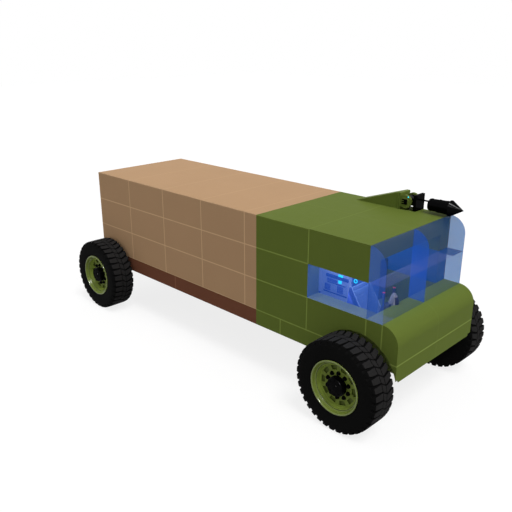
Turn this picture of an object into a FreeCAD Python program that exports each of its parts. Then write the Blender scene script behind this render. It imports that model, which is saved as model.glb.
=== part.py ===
import FreeCAD, Part
import math
import os

from FreeCAD import Vector

os.makedirs("parts", exist_ok=True)

# A 4x4 military cargo truck: a forward cab of thick flat panels and glass blocks,
# a closed cargo box with rear doors, a brown sill along the chassis and four large
# lugged wheels that stand outside the body. Lengths are in millimetres.
# +X is forward, +Y is the left side, +Z is up. The origin is on the ground,
# on the centre line, midway between the two axles.

# Body grid
BODY_WIDTH = 2000.0          # outside of the side walls
PANEL_ROW = 500.0            # height of one row of body panels
SILL_HEIGHT = 250.0          # chassis band below the body panels
GROUND_CLEARANCE = 780.0     # ground to the underside of the sill
CAB_LENGTH = 2000.0          # cab roof, front to back
BOX_LENGTH = 4250.0          # cargo box, front to back
NOSE_REACH = 500.0           # nose ahead of the cab roof's front edge
NOSE_ROUND = 250.0           # round of the nose's upper edge
WINDOW_LENGTH = 1000.0       # side window, along the truck
CAB_WALL = 250.0             # armoured cab walls and roof slab
GLASS_BLOCK = 250.0          # thickness of the windscreen blocks
GLASS_ROUND = 250.0          # round of the windscreen's upper edge
BOX_WALL = 60.0              # cargo box walls and roof
BOX_FLOOR = 50.0
CAB_FLOOR = 30.0

# Running gear
WHEELBASE = 5750.0
FRONT_OVERHANG = 625.0       # nose ahead of the front axle
TYRE_RADIUS = 655.0
TYRE_WIDTH = 440.0
TYRE_GAP = 30.0              # body side to the tyre's inner wall
LUG_COUNT = 36
LUG_DEPTH = 24.0
SHOULDER_SLOPE = 55.0        # radial height of the sloped shoulder
SHOULDER_INSET = 22.0        # how far the shoulder slopes in across the tread
CARCASS_FACET_COUNT = 24
LUG_TOP_SHARE = 0.50         # part of the pitch that a lug fills at its top
LUG_FOOT_SHARE = 0.56        # part of the pitch that a lug fills at its foot
RIM_SEAT_RADIUS = 350.0
RIM_LIP_RADIUS = 381.0
RIM_LIP = 16.0
RIM_WIDTH = 432.0
RIM_SHELL = 14.0
DISC_FRONT = 110.0           # disc face, outwards from the tyre's middle plane
DISC_THICK = 34.0
DISH_RADIUS = 300.0
DISC_BORE_RADIUS = 105.0
POCKET_COUNT = 10
POCKET_INNER_RADIUS = 222.0
POCKET_OUTER_RADIUS = 284.0
POCKET_DEPTH = 24.0
POCKET_SHARE = 0.60
DRUM_RADIUS = 190.0
HUB_BACK = 58.0
HUB_RADIUS = 138.0
HUB_STEP_RADIUS = 122.0
HUB_STEP = 168.0             # where the hub steps in
HUB_CHAMFER = 10.0
HUB_FACE = 196.0             # outermost face of the hub
SPINDLE_RADIUS = 46.0
SPINDLE_END = 145.0
SPINDLE_POCKET = 150.0
RUNNING = 0.08               # radial clearance of bearings and pins
SOFT_GAP = 0.3               # tyres to their rims, cushions to the shell they lie in
AXIAL = 3.0                  # end clearance of bearings and knuckles

# Steering
KINGPIN_RADIUS = 22.0
KNUCKLE_RADIUS = 50.0
KNUCKLE_HEIGHT = 144.0
YOKE_HALF = 45.0             # half width of the axle yoke
YOKE_ARM = 35.0
YOKE_WEB = 48.0
YOKE_BACK = 110.0            # kingpin to the back of the yoke
YOKE_REACH = 30.0            # kingpin to the front of the yoke arms
STEER_ARM_REACH = 150.0
STEER_ARM_HALF = 18.0
ARCH_TUCK = 10.0             # the arch is smaller than the tyre, whose inner shoulder alone swings in
ARCH_DEPTH = 215.0           # arch pocket, from the body side inwards
NOSE_SKIN = 12.0             # skin left ahead of the arch pocket
NOTCH_DEPTH = 70.0           # cut in the nose's lower corner, from the body side inwards
NOTCH_HEIGHT = 80.0

# Chassis
RAIL_INSET = 530.0           # body side to the outer face of the frame rails
RAIL_WIDTH = 70.0
RAIL_PLATE = 12.0
RAIL_FRONT_SETBACK = 60.0
CROSS_WIDTH = 90.0
CROSS_DROP = 40.0
CROSS_HEIGHT = 150.0
SILL_FLANGE = 80.0
SILL_PLATE = 12.0
REAR_BEAM_DEPTH = 50.0
TOW_PLATE = 16.0             # base plate of the towing jaw on the rear beam
TOW_PLATE_WIDTH = 200.0
TOW_EAR = 22.0
TOW_GAP = 64.0
TOW_REACH = 75.0             # beam face to the towing pin
TOW_RADIUS = 45.0
TOW_BORE_RADIUS = 21.0
AXLE_RADIUS = 65.0
DIFF_RADIUS = 150.0
DIFF_HALF = 140.0
FRONT_DIFF_SHARE = 0.55      # front differential's offset, as a share of the space beside it
SPRING_INSET = 400.0         # body side to the middle of the springs
SPRING_WIDTH = 80.0
FRONT_SPRING_HALF = 480.0
FRONT_SPRING_CAMBER = 110.0
REAR_SPRING_HALF = 280.0     # short, because the box ends close behind the axle
REAR_SPRING_CAMBER = 60.0
LEAF = 14.0
LEAF_COUNT = 3
LEAF_SHORTER_SHARE = 0.26    # how much shorter each next leaf is
SPRING_EYE = 24.0
HANGER = 30.0
ENGINE_LENGTH = 1100.0
ENGINE_SETBACK = 150.0       # cab's rear face to the engine
ENGINE_RAIL_GAP = 70.0       # right rail to the engine
ENGINE_WIDTH_SHARE = 0.525   # engine's part of the space between the rails
ENGINE_DROP = 160.0          # sill's underside to the engine's
ENGINE_HEIGHT = 380.0
GEARBOX_LENGTH = 600.0
GEARBOX_RADIUS = 175.0
GEARBOX_TAIL_RADIUS = 95.0
TRANSFER_LENGTH = 300.0
TRANSFER_DROP = 190.0
TRANSFER_HEIGHT = 330.0
SHAFT_RADIUS = 42.0
SHAFT_FLANGE_RADIUS = 75.0
SHAFT_FLANGE = 40.0

# Passage between the cab and the cargo box, rear doors
PASSAGE_WIDTH = 500.0
PASSAGE_WALL_GAP = 50.0      # cab's right wall to the passage
PASSAGE_HEIGHT = 1100.0
DOOR_THICK = 55.0
DOOR_GAP = 6.0
DOOR_RIB = 12.0
DOOR_RIB_WIDTH = 60.0
HINGE_RADIUS = 14.0
HINGE_PIN_RADIUS = 8.0
HINGE_LENGTH = 60.0
HINGE_STANDOFF = 6.0
HINGE_PLATE = 8.0
HINGE_COUNT = 3
HINGE_END_INSET = 160.0
LOCK_ROD_RADIUS = 13.0
LOCK_ROD_INSET = 130.0
LOCK_GUIDE = 50.0
LOCK_HANDLE = 260.0
LOCK_HANDLE_HEIGHT = 430.0

# Cab interior
SEAT_WALL_GAP = 140.0        # cab's right wall to the seat
SEAT_WIDTH = 440.0
SEAT_SETBACK = 160.0         # windscreen line to the seat's front
SEAT_LENGTH = 420.0
SEAT_LEAN = 70.0
SEAT_BASE = 70.0
SEAT_SHELL = 30.0
SEAT_HEIGHT = 690.0
CUSHION = 60.0
CUSHION_MARGIN = 35.0
BOLSTER = 70.0
CONSOLE_REACH = 90.0         # seat's front to the middle of the control pod
CONSOLE_FOOT = 150.0
CONSOLE_TOP = 80.0
CONSOLE_HEIGHT = 480.0
CONSOLE_DEPTH = 90.0
LEVER_SPREAD = 123.0
LEVER_RADIUS = 13.0
LEVER_GRIP_RADIUS = 22.0
LEVER_GRIP = 90.0
LEVER_HEIGHT = 685.0
CABINET_SETBACK = 310.0      # bulkhead to the cabinet
CABINET_LENGTH = 600.0
AISLE_WIDTH = 550.0          # cab's right wall to the cabinet
CABINET_HEIGHT = 650.0
CABINET_CHAMFER = 60.0
CABINET_RECESS = 12.0
CABINET_FRAME = 40.0

# Roof arm on the left edge of the cab roof
MAST_WIDTH = 250.0
WEDGE_SETBACK = 500.0        # cab's rear face to the fairing
WEDGE_LENGTH = 750.0
HINGE_BASE_PLATE = 45.0
HINGE_BLOCK = 250.0
CHEEK = 38.0
CHEEK_RADIUS = 100.0
YOKE_CHEEK = 35.0
YOKE_CHEEK_RADIUS = 72.0
CHEEK_GAP = 5.0
MOTOR_RADIUS = 70.0
MAST_PIN_RADIUS = 20.0
MAST_REACH = 135.0           # hinge pin to the front plate
MAST_PLATE = 45.0
MAST_PLATE_HALF = 119.0
MAST_ROD_RADIUS = 12.0
MAST_ROD_RISE = 40.0
MAST_ROD_LENGTH = 165.0
MAST_DRUM_LENGTH = 320.0
MAST_DRUM_RADIUS = 88.0
MAST_DRUM_FRONT_RADIUS = 100.0
MAST_CONE_RADIUS = 118.0
MAST_CONE_RIM = 12.0
MAST_CONE_LENGTH = 190.0
MAST_TIP_RADIUS = 4.0

CUT = 50.0                   # overrun of every cutting tool

# Levels and stations that follow
SIDE_Y = BODY_WIDTH / 2
SILL_Z = GROUND_CLEARANCE
DECK_Z = SILL_Z + SILL_HEIGHT
WAIST_Z = DECK_Z + PANEL_ROW
LINTEL_Z = WAIST_Z + PANEL_ROW
ROOF_Z = LINTEL_Z + PANEL_ROW
CEILING_Z = ROOF_Z - CAB_WALL
FLOOR_Z = DECK_Z + CAB_FLOOR
LOAD_Z = DECK_Z + BOX_FLOOR
FRONT_X = WHEELBASE / 2
REAR_X = -WHEELBASE / 2
NOSE_X = FRONT_X + FRONT_OVERHANG
CAB_FRONT_X = NOSE_X - NOSE_REACH
CAB_REAR_X = CAB_FRONT_X - CAB_LENGTH
BOX_REAR_X = CAB_REAR_X - BOX_LENGTH
WINDOW_X = CAB_FRONT_X - WINDOW_LENGTH
INNER_Y = SIDE_Y - CAB_WALL
BOX_INNER_Y = SIDE_Y - BOX_WALL
ARCH_INNER = SIDE_Y - ARCH_DEPTH
NOTCH_INNER = SIDE_Y - NOTCH_DEPTH
NOTCH_TOP = SILL_Z + NOTCH_HEIGHT
RAIL_OUTER = SIDE_Y - RAIL_INSET
RAIL_INNER = RAIL_OUTER - RAIL_WIDTH
SPRING_Y = SIDE_Y - SPRING_INSET
FRONT_DIFF_Y = RAIL_INNER * FRONT_DIFF_SHARE
PASSAGE_RIGHT_Y = PASSAGE_WALL_GAP - INNER_Y
WHEEL_Y = SIDE_Y + TYRE_GAP + TYRE_WIDTH / 2
WHEEL_Z = TYRE_RADIUS
DISC_BACK = DISC_FRONT - DISC_THICK
RIM_HALF = RIM_WIDTH / 2
BEAD_HALF = RIM_HALF - RIM_LIP
ENGINE_REAR_X = CAB_REAR_X + ENGINE_SETBACK
ENGINE_RIGHT_Y = ENGINE_RAIL_GAP - RAIL_INNER
ENGINE_WIDTH = RAIL_INNER * 2 * ENGINE_WIDTH_SHARE
ENGINE_BOTTOM_Z = SILL_Z - ENGINE_DROP
ENGINE_Y = ENGINE_RIGHT_Y + ENGINE_WIDTH / 2
TRANSFER_BOTTOM_Z = SILL_Z - TRANSFER_DROP
TRANSFER_X = ENGINE_REAR_X - GEARBOX_LENGTH - TRANSFER_LENGTH
HINGE_X = BOX_REAR_X - HINGE_STANDOFF - HINGE_RADIUS
HINGE_Y = BOX_INNER_Y + HINGE_RADIUS
SEAT_Y = SEAT_WALL_GAP + SEAT_WIDTH / 2 - INNER_Y
SEAT_FRONT_X = CAB_FRONT_X - SEAT_SETBACK
SEAT_BACK_X = SEAT_FRONT_X - SEAT_LENGTH
SEAT_TOP_Z = FLOOR_Z + SEAT_HEIGHT
CONSOLE_X = SEAT_FRONT_X + CONSOLE_REACH
LEVER_TOP_Z = FLOOR_Z + LEVER_HEIGHT
CABINET_X = CAB_REAR_X + CAB_WALL + CABINET_SETBACK
CABINET_RIGHT_Y = AISLE_WIDTH - INNER_Y
WEDGE_REAR_X = CAB_REAR_X + WEDGE_SETBACK
MAST_Y = SIDE_Y - MAST_WIDTH / 2
MAST_HINGE_X = WEDGE_REAR_X + WEDGE_LENGTH + HINGE_BLOCK / 2
MAST_Z = ROOF_Z + HINGE_BLOCK / 2
MAST_PLATE_X = MAST_HINGE_X + MAST_REACH
MAST_DRUM_X = MAST_PLATE_X + MAST_PLATE + MAST_ROD_LENGTH


def box(x0, x1, y0, y1, z0, z1):
    """A block between two stations on each axis."""
    return Part.makeBox(x1 - x0, y1 - y0, z1 - z0, Vector(x0, y0, z0))


def rod(radius, start, end):
    """A round bar from one point to another."""
    start = Vector(*start)
    along = Vector(*end) - start
    return Part.makeCylinder(radius, along.Length, start, along)


def cone(radius_start, radius_end, start, end):
    """A tapered round bar from one point to another."""
    start = Vector(*start)
    along = Vector(*end) - start
    return Part.makeCone(radius_start, radius_end, along.Length, start, along)


def outline(points, place):
    """A closed face. Each entry is a corner (u, v), or a pair of points that an arc
    passes and ends at; place maps (u, v) to space."""
    edges = []
    here = points[0]
    for step in points[1:] + [points[0]]:
        if isinstance(step[0], tuple):
            edges.append(Part.Arc(place(*here), place(*step[0]), place(*step[1])).toShape())
            here = step[1]
        elif (place(*step) - place(*here)).Length > RUNNING / CUT:
            edges.append(Part.makeLine(place(*here), place(*step)))
            here = step
    return Part.Face(Part.Wire(edges))


def prism_y(points, y0, y1):
    """Side-view outline (x, z) extruded between two distances from the centre line."""
    return outline(points, lambda u, v: Vector(u, y0, v)).extrude(Vector(0, y1 - y0, 0))


def prism_x(points, x0, x1):
    """Front-view outline (y, z) extruded between two stations."""
    return outline(points, lambda u, v: Vector(x0, u, v)).extrude(Vector(x1 - x0, 0, 0))


def turned_y(points):
    """Section (radius, outwards) turned about the Y axis."""
    face = outline(points, lambda u, v: Vector(u, v, 0))
    return face.revolve(Vector(0, 0, 0), Vector(0, 1, 0), 360)


def quarter(centre_x, centre_z, radius):
    """Arc entry from the top of a circle forward and down to its foremost point."""
    slant = radius * math.cos(math.pi / 4)
    return ((centre_x + slant, centre_z + slant), (centre_x + radius, centre_z))


def fuse(shapes):
    """One solid from touching solids, with needless edges removed."""
    return shapes[0].multiFuse(shapes[1:]).removeSplitter()


def mirrored(shape):
    """The same piece on the other side of the centre line."""
    return shape.mirror(Vector(0, 0, 0), Vector(0, 1, 0))


def export(shape, name):
    shape.exportStep("parts/" + name + ".step")


def export_pair(shape, name):
    """A left-hand piece and its mirror image."""
    export(shape, name + "_left")
    export(mirrored(shape), name + "_right")


# Wheels

def lug_ring(start, end, phase):
    """A toothed ring across half of the tread, with flat roots between its lugs."""
    pitch = 2 * math.pi / LUG_COUNT
    foot = TYRE_RADIUS - LUG_DEPTH
    spread = (LUG_FOOT_SHARE - LUG_TOP_SHARE) / 2 * pitch
    top = LUG_TOP_SHARE * pitch
    corners = []
    for tooth in range(LUG_COUNT):
        first = phase + tooth * pitch
        for radius, angle in ((foot, first - spread), (TYRE_RADIUS, first),
                              (TYRE_RADIUS, first + top), (foot, first + top + spread)):
            corners.append((radius * math.cos(angle), radius * math.sin(angle)))
    return prism_y(corners, start, end)


def faceted(stations):
    """Solid about the Y axis with flat facets, through stations of radius and y."""
    rings = []
    for radius, y in stations:
        turns = [2 * math.pi * number / CARCASS_FACET_COUNT for number in range(CARCASS_FACET_COUNT)]
        rings.append([Vector(radius * math.cos(turn), y, radius * math.sin(turn)) for turn in turns])
    outlines = [rings[0], rings[-1][::-1]]
    for ring, after in zip(rings, rings[1:]):
        for number in range(CARCASS_FACET_COUNT):
            outlines.append([ring[number - 1], after[number - 1], after[number], ring[number]])
    faces = [Part.Face(Part.makePolygon(points + points[:1])) for points in outlines]
    solid = Part.makeSolid(Part.makeShell(faces))
    return solid if solid.Volume > 0 else solid.reversed()


def tyre():
    """Tyre about the Y axis: a faceted carcass, hollowed walls, and two rows of lugs that
    are half a pitch apart."""
    half = TYRE_WIDTH / 2
    flat = math.cos(math.pi / CARCASS_FACET_COUNT)
    root = (TYRE_RADIUS - LUG_DEPTH) * math.cos(math.pi / LUG_COUNT)
    slope_foot = TYRE_RADIUS - SHOULDER_SLOPE
    shoulder = half - SHOULDER_INSET
    wall_foot = (RIM_LIP_RADIUS + AXIAL) / flat
    bore = (RIM_SEAT_RADIUS + SOFT_GAP) / flat
    bead = BEAD_HALF - SOFT_GAP
    carcass = faceted([(slope_foot, -half), (root, -shoulder), (root, shoulder), (slope_foot, half)])
    half_pitch = math.pi / LUG_COUNT
    down = -math.pi / 2
    outer = lug_ring(0, shoulder, down)
    inner = lug_ring(-shoulder, 0, down + half_pitch)
    solid = fuse([carcass, outer, inner])
    core = faceted([(bore, -half - CUT), (bore, half + CUT)])
    dish = faceted([(wall_foot, bead), (slope_foot, half)])
    return solid.cut(core).cut(dish).cut(dish.mirror(Vector(), Vector(0, 1, 0)))


def rim_disc():
    """Wheel with a stepped dish, a disc with deep pockets and the black hub."""
    inner = RIM_SEAT_RADIUS - RIM_SHELL
    step = (RIM_HALF + DISC_FRONT) / 2
    ledge = (DISH_RADIUS + inner) / 2
    rim = turned_y([
        (RIM_LIP_RADIUS, RIM_HALF), (RIM_LIP_RADIUS, BEAD_HALF),
        (RIM_SEAT_RADIUS, BEAD_HALF), (RIM_SEAT_RADIUS, -BEAD_HALF),
        (RIM_LIP_RADIUS, -BEAD_HALF), (RIM_LIP_RADIUS, -RIM_HALF),
        (inner, -RIM_HALF), (inner, DISC_BACK), (DISC_BORE_RADIUS, DISC_BACK),
        (DISC_BORE_RADIUS, DISC_FRONT), (DISH_RADIUS, DISC_FRONT),
        (ledge, step - RIM_SHELL), (ledge, step),
        (inner, step + RIM_SHELL / 2),
        (RIM_LIP_RADIUS - RIM_LIP, RIM_HALF)])
    pitch = 2 * math.pi / POCKET_COUNT
    half = POCKET_SHARE * pitch / 2
    floor = DISC_FRONT - POCKET_DEPTH
    pockets = []
    for number in range(POCKET_COUNT):
        middle = number * pitch
        corners = [(radius * math.cos(middle + turn), radius * math.sin(middle + turn))
                   for radius, turn in ((POCKET_INNER_RADIUS, -half), (POCKET_OUTER_RADIUS, -half),
                                        (POCKET_OUTER_RADIUS, half), (POCKET_INNER_RADIUS, half))]
        pockets.append(prism_y(corners, floor, floor + CUT))
    rim = rim.cut(Part.makeCompound(pockets))
    bore = SPINDLE_RADIUS + RUNNING
    hub = turned_y([
        (bore, HUB_BACK), (DRUM_RADIUS, HUB_BACK), (DRUM_RADIUS, DISC_BACK),
        (DISC_BORE_RADIUS, DISC_BACK), (DISC_BORE_RADIUS, DISC_FRONT),
        (HUB_RADIUS, DISC_FRONT), (HUB_RADIUS, HUB_STEP), (HUB_STEP_RADIUS, HUB_STEP),
        (HUB_STEP_RADIUS, HUB_FACE - HUB_CHAMFER),
        (HUB_STEP_RADIUS - HUB_CHAMFER, HUB_FACE), (0, HUB_FACE),
        (0, SPINDLE_POCKET), (bore, SPINDLE_POCKET)])
    return fuse([rim, hub])


def place_wheels():
    tyre_shape = tyre()
    disc_shape = rim_disc()
    for axle, station in (("front", FRONT_X), ("rear", REAR_X)):
        for shape, name in ((tyre_shape, "tyre_"), (disc_shape, "wheel_")):
            placed = shape.copy()
            placed.translate(Vector(station, WHEEL_Y, WHEEL_Z))
            export_pair(placed, name + axle)


def knuckle():
    """Left steering knuckle: boss round the kingpin, spindle and steering arm."""
    half = KNUCKLE_HEIGHT / 2
    boss = rod(KNUCKLE_RADIUS, (0, 0, -half), (0, 0, half))
    flange_radius = half - AXIAL
    flange = rod(flange_radius, (0, KNUCKLE_RADIUS * math.cos(math.pi / 4), 0), (0, KNUCKLE_RADIUS, 0))
    spindle = rod(SPINDLE_RADIUS, (0, 0, 0), (0, SPINDLE_END, 0))
    arm = box(-STEER_ARM_REACH, 0, -STEER_ARM_HALF, STEER_ARM_HALF, -STEER_ARM_HALF, STEER_ARM_HALF)
    eye = rod(STEER_ARM_HALF * 2, (-STEER_ARM_REACH, 0, -STEER_ARM_HALF), (-STEER_ARM_REACH, 0, STEER_ARM_HALF))
    eye_hole = rod(STEER_ARM_HALF, (-STEER_ARM_REACH, 0, -CUT), (-STEER_ARM_REACH, 0, CUT))
    bore = rod(KINGPIN_RADIUS + RUNNING, (0, 0, -half - CUT), (0, 0, half + CUT))
    solid = fuse([boss, flange, spindle, arm, eye]).cut(bore).cut(eye_hole)
    solid.translate(Vector(FRONT_X, WHEEL_Y, WHEEL_Z))
    return solid


def differential(x, y):
    """Axle housing bulge: a short drum across the axle with rounded covers."""
    cap = DIFF_RADIUS * math.cos(math.pi / 4)
    section = turned_y([
        (0, -DIFF_HALF), (AXLE_RADIUS, -DIFF_HALF), (cap, -cap), (DIFF_RADIUS, -AXLE_RADIUS),
        (DIFF_RADIUS, AXLE_RADIUS), (cap, cap), (AXLE_RADIUS, DIFF_HALF), (0, DIFF_HALF)])
    section.translate(Vector(x, y, WHEEL_Z))
    return section


def axle_yoke():
    """Left fork at the end of the front axle, with its kingpin."""
    inner = KNUCKLE_HEIGHT / 2 + AXIAL
    outer = inner + YOKE_ARM
    web = box(-YOKE_HALF, YOKE_HALF, -YOKE_BACK, YOKE_WEB - YOKE_BACK, -outer, outer)
    pieces = [web]
    for low, high in ((-outer, -inner), (inner, outer)):
        pieces.append(box(-YOKE_HALF, YOKE_HALF, -YOKE_BACK, 0, low, high))
        pieces.append(rod(YOKE_HALF, (0, 0, low), (0, 0, high)).common(
            box(-YOKE_HALF, YOKE_HALF, -YOKE_HALF, YOKE_REACH, low, high)))
    pieces.append(rod(KINGPIN_RADIUS, (0, 0, -outer - AXIAL), (0, 0, outer + AXIAL)))
    solid = fuse(pieces)
    solid.translate(Vector(FRONT_X, WHEEL_Y, WHEEL_Z))
    return solid


def input_flange(x, y, toward):
    """Pinion nose of a differential, towards the propeller shaft."""
    reach = DIFF_RADIUS + SHAFT_FLANGE
    return cone(DIFF_RADIUS / 2, SHAFT_FLANGE_RADIUS * math.cos(math.pi / 4),
                (x, y, WHEEL_Z), (x + toward * reach, y, WHEEL_Z))


def front_axle():
    end = WHEEL_Y - YOKE_BACK
    tube = rod(AXLE_RADIUS, (FRONT_X, -end, WHEEL_Z), (FRONT_X, end, WHEEL_Z))
    yoke = axle_yoke()
    return fuse([tube, yoke, mirrored(yoke), differential(FRONT_X, FRONT_DIFF_Y),
                 input_flange(FRONT_X, FRONT_DIFF_Y, -1)])


def rear_axle():
    flange = WHEEL_Y + HUB_BACK - AXIAL * 2
    end = WHEEL_Y + SPINDLE_END
    tube = rod(AXLE_RADIUS, (REAR_X, -flange, WHEEL_Z), (REAR_X, flange, WHEEL_Z))
    spindle = rod(SPINDLE_RADIUS, (REAR_X, -end, WHEEL_Z), (REAR_X, end, WHEEL_Z))
    return fuse([tube, spindle, differential(REAR_X, 0), input_flange(REAR_X, 0, 1)])


# Chassis

def leaf(number, axle_x, span, camber):
    """One leaf: a strip bent to the arc of the spring, shorter further down."""
    half = span * (1 - number * LEAF_SHORTER_SHARE)
    radius = (span ** 2 + camber ** 2) / (2 * camber)
    low = WHEEL_Z + AXLE_RADIUS + (LEAF_COUNT - number - 1) * LEAF
    centre_z = low + radius
    inner = radius - LEAF
    turn = math.asin(half / radius)

    def at(r, angle):
        return (axle_x + r * math.sin(angle), centre_z - r * math.cos(angle))

    return prism_y([at(radius, -turn), (at(radius, 0), at(radius, turn)),
                    at(inner, turn), (at(inner, 0), at(inner, -turn))],
                   SPRING_Y - SPRING_WIDTH / 2, SPRING_Y + SPRING_WIDTH / 2)


def spring(axle_x, span, camber):
    """Left leaf spring with its eyes and the brackets that hang it from the rail."""
    eye_z = WHEEL_Z + AXLE_RADIUS + LEAF_COUNT * LEAF - LEAF + camber + SPRING_EYE / 2
    inner = SPRING_Y - SPRING_WIDTH / 2
    outer = SPRING_Y + SPRING_WIDTH / 2
    pieces = [leaf(number, axle_x, span, camber) for number in range(LEAF_COUNT)]
    for toward in (-1, 1):
        x = axle_x + toward * span
        pieces.append(rod(SPRING_EYE, (x, inner, eye_z), (x, outer, eye_z)))
        pieces.append(rod(SPRING_EYE / 2, (x, RAIL_OUTER, eye_z), (x, outer + HANGER / 2, eye_z)))
        pieces.append(box(x - HANGER, x + HANGER, RAIL_OUTER, inner - AXIAL, eye_z - HANGER,
                          DECK_Z - CROSS_DROP))
    return fuse(pieces)


def cross_bar(x, end):
    """Cross member from side to side at one station."""
    top = DECK_Z - CROSS_DROP
    return box(x - CROSS_WIDTH / 2, x + CROSS_WIDTH / 2, -end, end, top - CROSS_HEIGHT, top)


def long_bar_stations():
    """Where the cross members run out to the sills, clear of the drive line."""
    rear = REAR_X + DIFF_RADIUS * 4
    front = TRANSFER_X - CROSS_WIDTH * 2
    return [rear, (rear + front) / 2, front]


def short_bar_stations():
    """Where the cross members stay between the rails."""
    return [ENGINE_REAR_X + ENGINE_LENGTH + CROSS_WIDTH * 2,
            NOSE_X - RAIL_FRONT_SETBACK - CROSS_WIDTH / 2]


def rail():
    """Left C-section frame rail, open towards the centre line, with a hole for each
    cross member that passes through its web."""
    inner = RAIL_OUTER - RAIL_WIDTH
    section = [(RAIL_OUTER, SILL_Z), (RAIL_OUTER, DECK_Z), (inner, DECK_Z),
               (inner, DECK_Z - RAIL_PLATE), (RAIL_OUTER - RAIL_PLATE, DECK_Z - RAIL_PLATE),
               (RAIL_OUTER - RAIL_PLATE, SILL_Z + RAIL_PLATE), (inner, SILL_Z + RAIL_PLATE),
               (inner, SILL_Z)]
    solid = prism_x(section, BOX_REAR_X + REAR_BEAM_DEPTH, NOSE_X - RAIL_FRONT_SETBACK)
    return solid.cut(Part.makeCompound([cross_bar(x, SIDE_Y) for x in long_bar_stations()]))


def tow_jaw():
    """Two bored ears on a base plate at the middle of the rear beam."""
    middle_z = (SILL_Z + DECK_Z) / 2
    half = TOW_GAP / 2 + TOW_EAR
    pin_x = BOX_REAR_X - TOW_REACH
    plate_half = half + TOW_PLATE * 2
    pieces = [box(BOX_REAR_X - TOW_PLATE, BOX_REAR_X, -TOW_PLATE_WIDTH / 2, TOW_PLATE_WIDTH / 2,
                  middle_z - plate_half, middle_z + plate_half)]
    for low, high in ((-half, -TOW_GAP / 2), (TOW_GAP / 2, half)):
        pieces.append(rod(TOW_RADIUS, (pin_x, 0, middle_z + low), (pin_x, 0, middle_z + high)))
        pieces.append(box(pin_x, BOX_REAR_X - TOW_PLATE, -TOW_RADIUS, TOW_RADIUS,
                          middle_z + low, middle_z + high))
    bore = rod(TOW_BORE_RADIUS, (pin_x, 0, SILL_Z), (pin_x, 0, DECK_Z))
    return fuse(pieces).cut(bore)


def cross_members():
    """Three bars through the rails that carry the sills, two between the rails, and the
    beam across the rear end."""
    web = RAIL_OUTER - RAIL_PLATE
    bars = [cross_bar(x, SIDE_Y - SILL_PLATE) for x in long_bar_stations()]
    bars += [cross_bar(x, web) for x in short_bar_stations()]
    bars.append(box(BOX_REAR_X, BOX_REAR_X + REAR_BEAM_DEPTH, -SIDE_Y, SIDE_Y, SILL_Z, DECK_Z))
    bars.append(tow_jaw())
    return Part.makeCompound(bars)


def sill():
    """Left side sill: a channel flush with the body side, open inwards."""
    inner = SIDE_Y - SILL_FLANGE
    web = SIDE_Y - SILL_PLATE
    section = [(SIDE_Y, SILL_Z), (SIDE_Y, DECK_Z), (inner, DECK_Z),
               (inner, DECK_Z - SILL_PLATE), (web, DECK_Z - SILL_PLATE),
               (web, SILL_Z + SILL_PLATE), (inner, SILL_Z + SILL_PLATE), (inner, SILL_Z)]
    return prism_x(section, BOX_REAR_X + REAR_BEAM_DEPTH, CAB_REAR_X)


def powertrain():
    """Engine block under the cab floor, tapered gearbox and transfer case."""
    engine = box(ENGINE_REAR_X, ENGINE_REAR_X + ENGINE_LENGTH, ENGINE_RIGHT_Y,
                 ENGINE_RIGHT_Y + ENGINE_WIDTH, ENGINE_BOTTOM_Z, ENGINE_BOTTOM_Z + ENGINE_HEIGHT)
    middle_z = ENGINE_BOTTOM_Z + ENGINE_HEIGHT / 2
    tail = ENGINE_REAR_X - GEARBOX_LENGTH
    gearbox = cone(GEARBOX_RADIUS, GEARBOX_TAIL_RADIUS, (ENGINE_REAR_X, ENGINE_Y, middle_z),
                   (tail, ENGINE_Y, middle_z))
    transfer = box(TRANSFER_X, tail, ENGINE_Y - GEARBOX_TAIL_RADIUS, FRONT_DIFF_Y + SHAFT_FLANGE_RADIUS,
                   TRANSFER_BOTTOM_Z, TRANSFER_BOTTOM_Z + TRANSFER_HEIGHT)
    mount_z = DECK_Z - CROSS_DROP - CROSS_HEIGHT / 2
    web = RAIL_OUTER - RAIL_PLATE
    mounts = [box(TRANSFER_X + TRANSFER_LENGTH / 4, tail - TRANSFER_LENGTH / 4, -web, web,
                  mount_z - RAIL_PLATE, mount_z + RAIL_PLATE),
              box(ENGINE_REAR_X + ENGINE_LENGTH / 2 - CROSS_WIDTH, ENGINE_REAR_X + ENGINE_LENGTH / 2,
                  -web, web, mount_z - RAIL_PLATE, mount_z + RAIL_PLATE)]
    return fuse([engine, gearbox, transfer] + mounts)


def shaft(start, end, y, z):
    """Propeller shaft with a flange at each end."""
    toward = math.copysign(SHAFT_FLANGE, end - start)
    return fuse([rod(SHAFT_RADIUS, (start, y, z), (end, y, z)),
                 rod(SHAFT_FLANGE_RADIUS, (start, y, z), (start + toward, y, z)),
                 rod(SHAFT_FLANGE_RADIUS, (end - toward, y, z), (end, y, z))])


def propshafts():
    reach = DIFF_RADIUS + SHAFT_FLANGE
    tail = ENGINE_REAR_X - GEARBOX_LENGTH
    front = shaft(tail, FRONT_X - reach, FRONT_DIFF_Y, WHEEL_Z)
    rear = shaft(TRANSFER_X, REAR_X + reach, 0, WHEEL_Z)
    return Part.makeCompound([front, rear])


# Cargo box

def passage(x0, x1, floor_z):
    return box(x0, x1, PASSAGE_RIGHT_Y, PASSAGE_RIGHT_Y + PASSAGE_WIDTH, floor_z,
               LOAD_Z + PASSAGE_HEIGHT)


def box_floor():
    """Load floor, which ends at the front wall."""
    return box(BOX_REAR_X, CAB_REAR_X - BOX_WALL, -BOX_INNER_Y, BOX_INNER_Y, DECK_Z, LOAD_Z)


def hinge_levels():
    """Undersides of the hinges on each rear door."""
    low = LOAD_Z + HINGE_END_INSET
    high = ROOF_Z - BOX_WALL - HINGE_END_INSET - HINGE_LENGTH * 2
    step = (high - low) / (HINGE_COUNT - 1)
    return [low + number * step for number in range(HINGE_COUNT)]


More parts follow.
